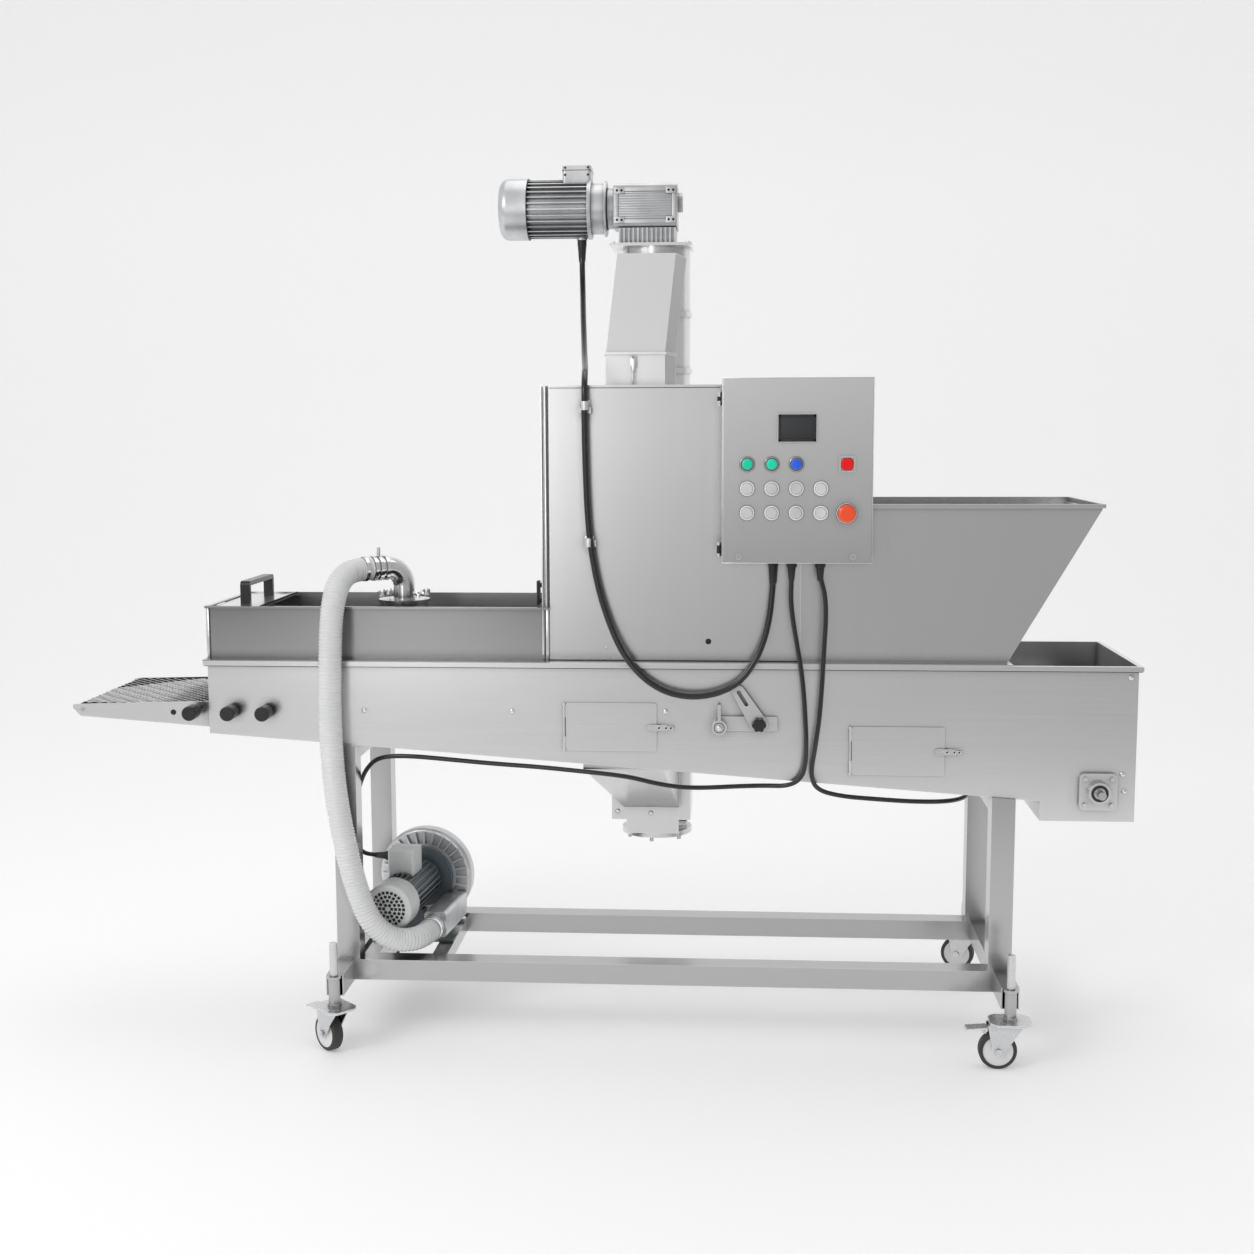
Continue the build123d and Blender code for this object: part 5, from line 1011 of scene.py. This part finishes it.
def dressControls(setup):
    face = setup["face"]
    columns = [setup["column"] + step * setup["pitch"] for step in range(setup["columns"])]
    lampSpots = onFace([(x, setup["lampRow"]) for x in columns[:-1]], face)
    capSpots = onFace([(x, z) for z in setup["capRows"] for x in columns], face)
    stopSpot = onFace([setup["stop"]], face)
    rings = {
        "lampRings": ((0.0139, 0.0158, 0.0038), lampSpots, "sealAndShade", "black_plastic", 40),
        "lampBezels": ((0.0158, 0.0180, 0.0042), lampSpots, "bright", "zinc", 40),
        "capBezels": ((0.0139, 0.0180, 0.0044), capSpots, "white", "white_cap", 40),
        # dark rings round the bezels and the stop bezel are painted shadow gaps
        "bezelShadowRings": ((0.0180, 0.0189, 0.0008), lampSpots + capSpots, "sealAndShade", "black_plastic", 40),
        "stopBezel": ((0.0226, 0.0248, 0.0040), stopSpot, "white", "zinc", 48),
        "stopShadowRing": ((0.0248, 0.0258, 0.0008), stopSpot, "sealAndShade", "black_plastic", 48),
    }
    for name, (sizes, places, *look) in rings.items():
        spunPieces(name, ringProfile(*sizes), places, *look, "cabinet_door")
    glassY, frameY = [[face + depth for depth in setup[label]] for label in ("glassY", "frameY")]
    boxPieces("screenGlass", slabs([setup["glass"]], *glassY), "glass", 0.0006, "cabinet_door")
    bars = frameBars(*setup["screen"], setup["screenBar"])
    boxPieces("screenFrame", slabs(bars, *frameY), "sealAndShade", body="cabinet_door")


dressControls(panelSetup)

# red push button with a rounded cap and its surround
capSetup = {
    "node": "button_red",
    "steps": 56,
    "power": 2.5,
    "rings": ((0.0, 0.0), (0.72, 0.0), (0.9, 0.0012), (1.0, 0.0036)),
    "surround": ((-0.3685, 0.0182, 40), (-0.3712, 0.0180, 40), (-0.3712, 0.0158, 2.5),
                 (-0.3685, 0.0158, 2.5)),
}


def roundedOutline(work, middle, y, half, power, steps):
    ring = []
    for step in range(steps):
        turn = 2 * pi * (step + 0.5) / steps
        parts = (cos(turn), sin(turn))
        across, rise = [(1 if part >= 0 else -1) * abs(part) ** (2 / power) for part in parts]
        ring.append(work.verts.new((middle[0] + half[0] * across, y, middle[1] + half[1] * rise)))
    return ring


def makeRoundedCap(setup):
    low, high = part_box(setup["node"])
    power, steps = setup["power"], setup["steps"]
    middle = [(low[axis] + high[axis]) / 2 for axis in (0, 2)]
    half = [(high[axis] - low[axis]) / 2 for axis in (0, 2)]
    work = bmesh.new()
    height = low[1] - high[1]
    rings = [roundedOutline(work, middle, high[1] + height * depth, [side - inset for side in half],
                            power, steps) for depth, inset in setup["rings"]]
    joinRings(work, rings)
    for end in (rings[0], rings[-1]):
        work.faces.new(end)
    cap = makePiece("redCap", work, "red", setup["node"])
    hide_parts(setup["node"])
    work = bmesh.new()
    rings = [roundedOutline(work, middle, y, (size, size), shape, steps)
             for y, size, shape in setup["surround"]]
    joinRings(work, rings + rings[:1])
    makePiece("redSurround", work, "doorPanel", "cabinet_door")


makeRoundedCap(capSetup)
print("controls dressed")

# floor, backdrop and light
studio = {"paper": (0.90, 0.90, 0.905, 1), "rough": 0.75, "white": (1, 1, 1, 1), "glow": 0.22,
          "halfWidth": 14, "near": -3.0, "bendAt": 3.2, "bend": 3.0, "top": 12.0, "sky": 0.66, "left": 1.08,
          "right": 0.74, "overhead": 0.98, "below": 0.75}
lamps = {
    "keyLight": {"place": (-3.4, -3.6, 4.0), "target": (0, 0, 0.9), "size": (2.0, 2.0), "power": 62},
    "stripLight": {"place": (-1.75, -6.0, 1.9), "target": (-0.6, 0, 1.0), "size": (1.1, 3.0), "power": 20},
    "topLight": {"place": (0.2, 0.6, 4.6), "target": (0, 0, 0.8), "size": (3.4, 2.4), "power": 27},
}


def makeStudio(setup):
    # one sweep of paper: flat floor, quarter bend, upright wall
    start, bend = setup["bendAt"], setup["bend"]
    outline = [(setup["near"], 0), (start, 0)]
    outline += [(start + bend * sin(radians(a)), bend - bend * cos(radians(a))) for a in range(10, 91, 10)]
    outline.append((start + bend, setup["top"]))
    work = bmesh.new()
    ends = (-setup["halfWidth"], setup["halfWidth"])
    rows = [[work.verts.new((x, y, z)) for x in ends] for y, z in outline]
    for low, high in zip(rows, rows[1:]):
        work.faces.new((low[0], low[1], high[1], high[0]))
    mesh = finishMesh("studioSweep", work)
    material, tree, shader = blankMaterial("studioPaper")
    feed(tree, shader, {"Base Color": setup["paper"], "Roughness": setup["rough"],
                        "Emission Color": setup["white"], "Emission Strength": setup["glow"]})
    mesh.materials.append(material)
    sweep = bpy.data.objects.new("studioSweep", mesh)
    shelf.objects.link(sweep)


def makeSky(setup):
    # brighter at the left and dimmer below the horizon
    world = bpy.data.worlds.new("softRoom")
    world.use_nodes = True
    bpy.context.scene.world = world
    tree = world.node_tree
    x, y, z = axes(tree, addNode(tree, "TexCoord").outputs["Generated"])
    sideways = span(tree, x, setup["left"], setup["right"], -0.38, 0.34)
    above = span(tree, z, 1, setup["overhead"], 0.05, 0.9)
    below = span(tree, z, setup["below"], 1, -0.24, 0.06)
    strength = mathNode(tree, "MULTIPLY", mathNode(tree, "MULTIPLY", above, below), sideways)
    strength = mathNode(tree, "MULTIPLY", strength, setup["sky"])
    feed(tree, tree.nodes["Background"], {"Strength": strength, "Color": setup["white"]})


def areaLamp(name, setup):
    lamp = bpy.data.lights.new(name, "AREA")
    lamp.shape = "RECTANGLE"
    lamp.size, lamp.size_y = setup["size"]
    lamp.energy = setup["power"]
    holder = bpy.data.objects.new(name, lamp)
    holder.location = setup["place"]
    aim = Vector(setup["target"]) - Vector(setup["place"])
    holder.rotation_euler = aim.to_track_quat("-Z", "Y").to_euler()
    holder.visible_camera = False
    shelf.objects.link(holder)


makeStudio(studio)
makeSky(studio)
for name, setup in lamps.items():
    areaLamp(name, setup)
bpy.context.scene.view_settings.view_transform = "Standard"
print("studio lit")
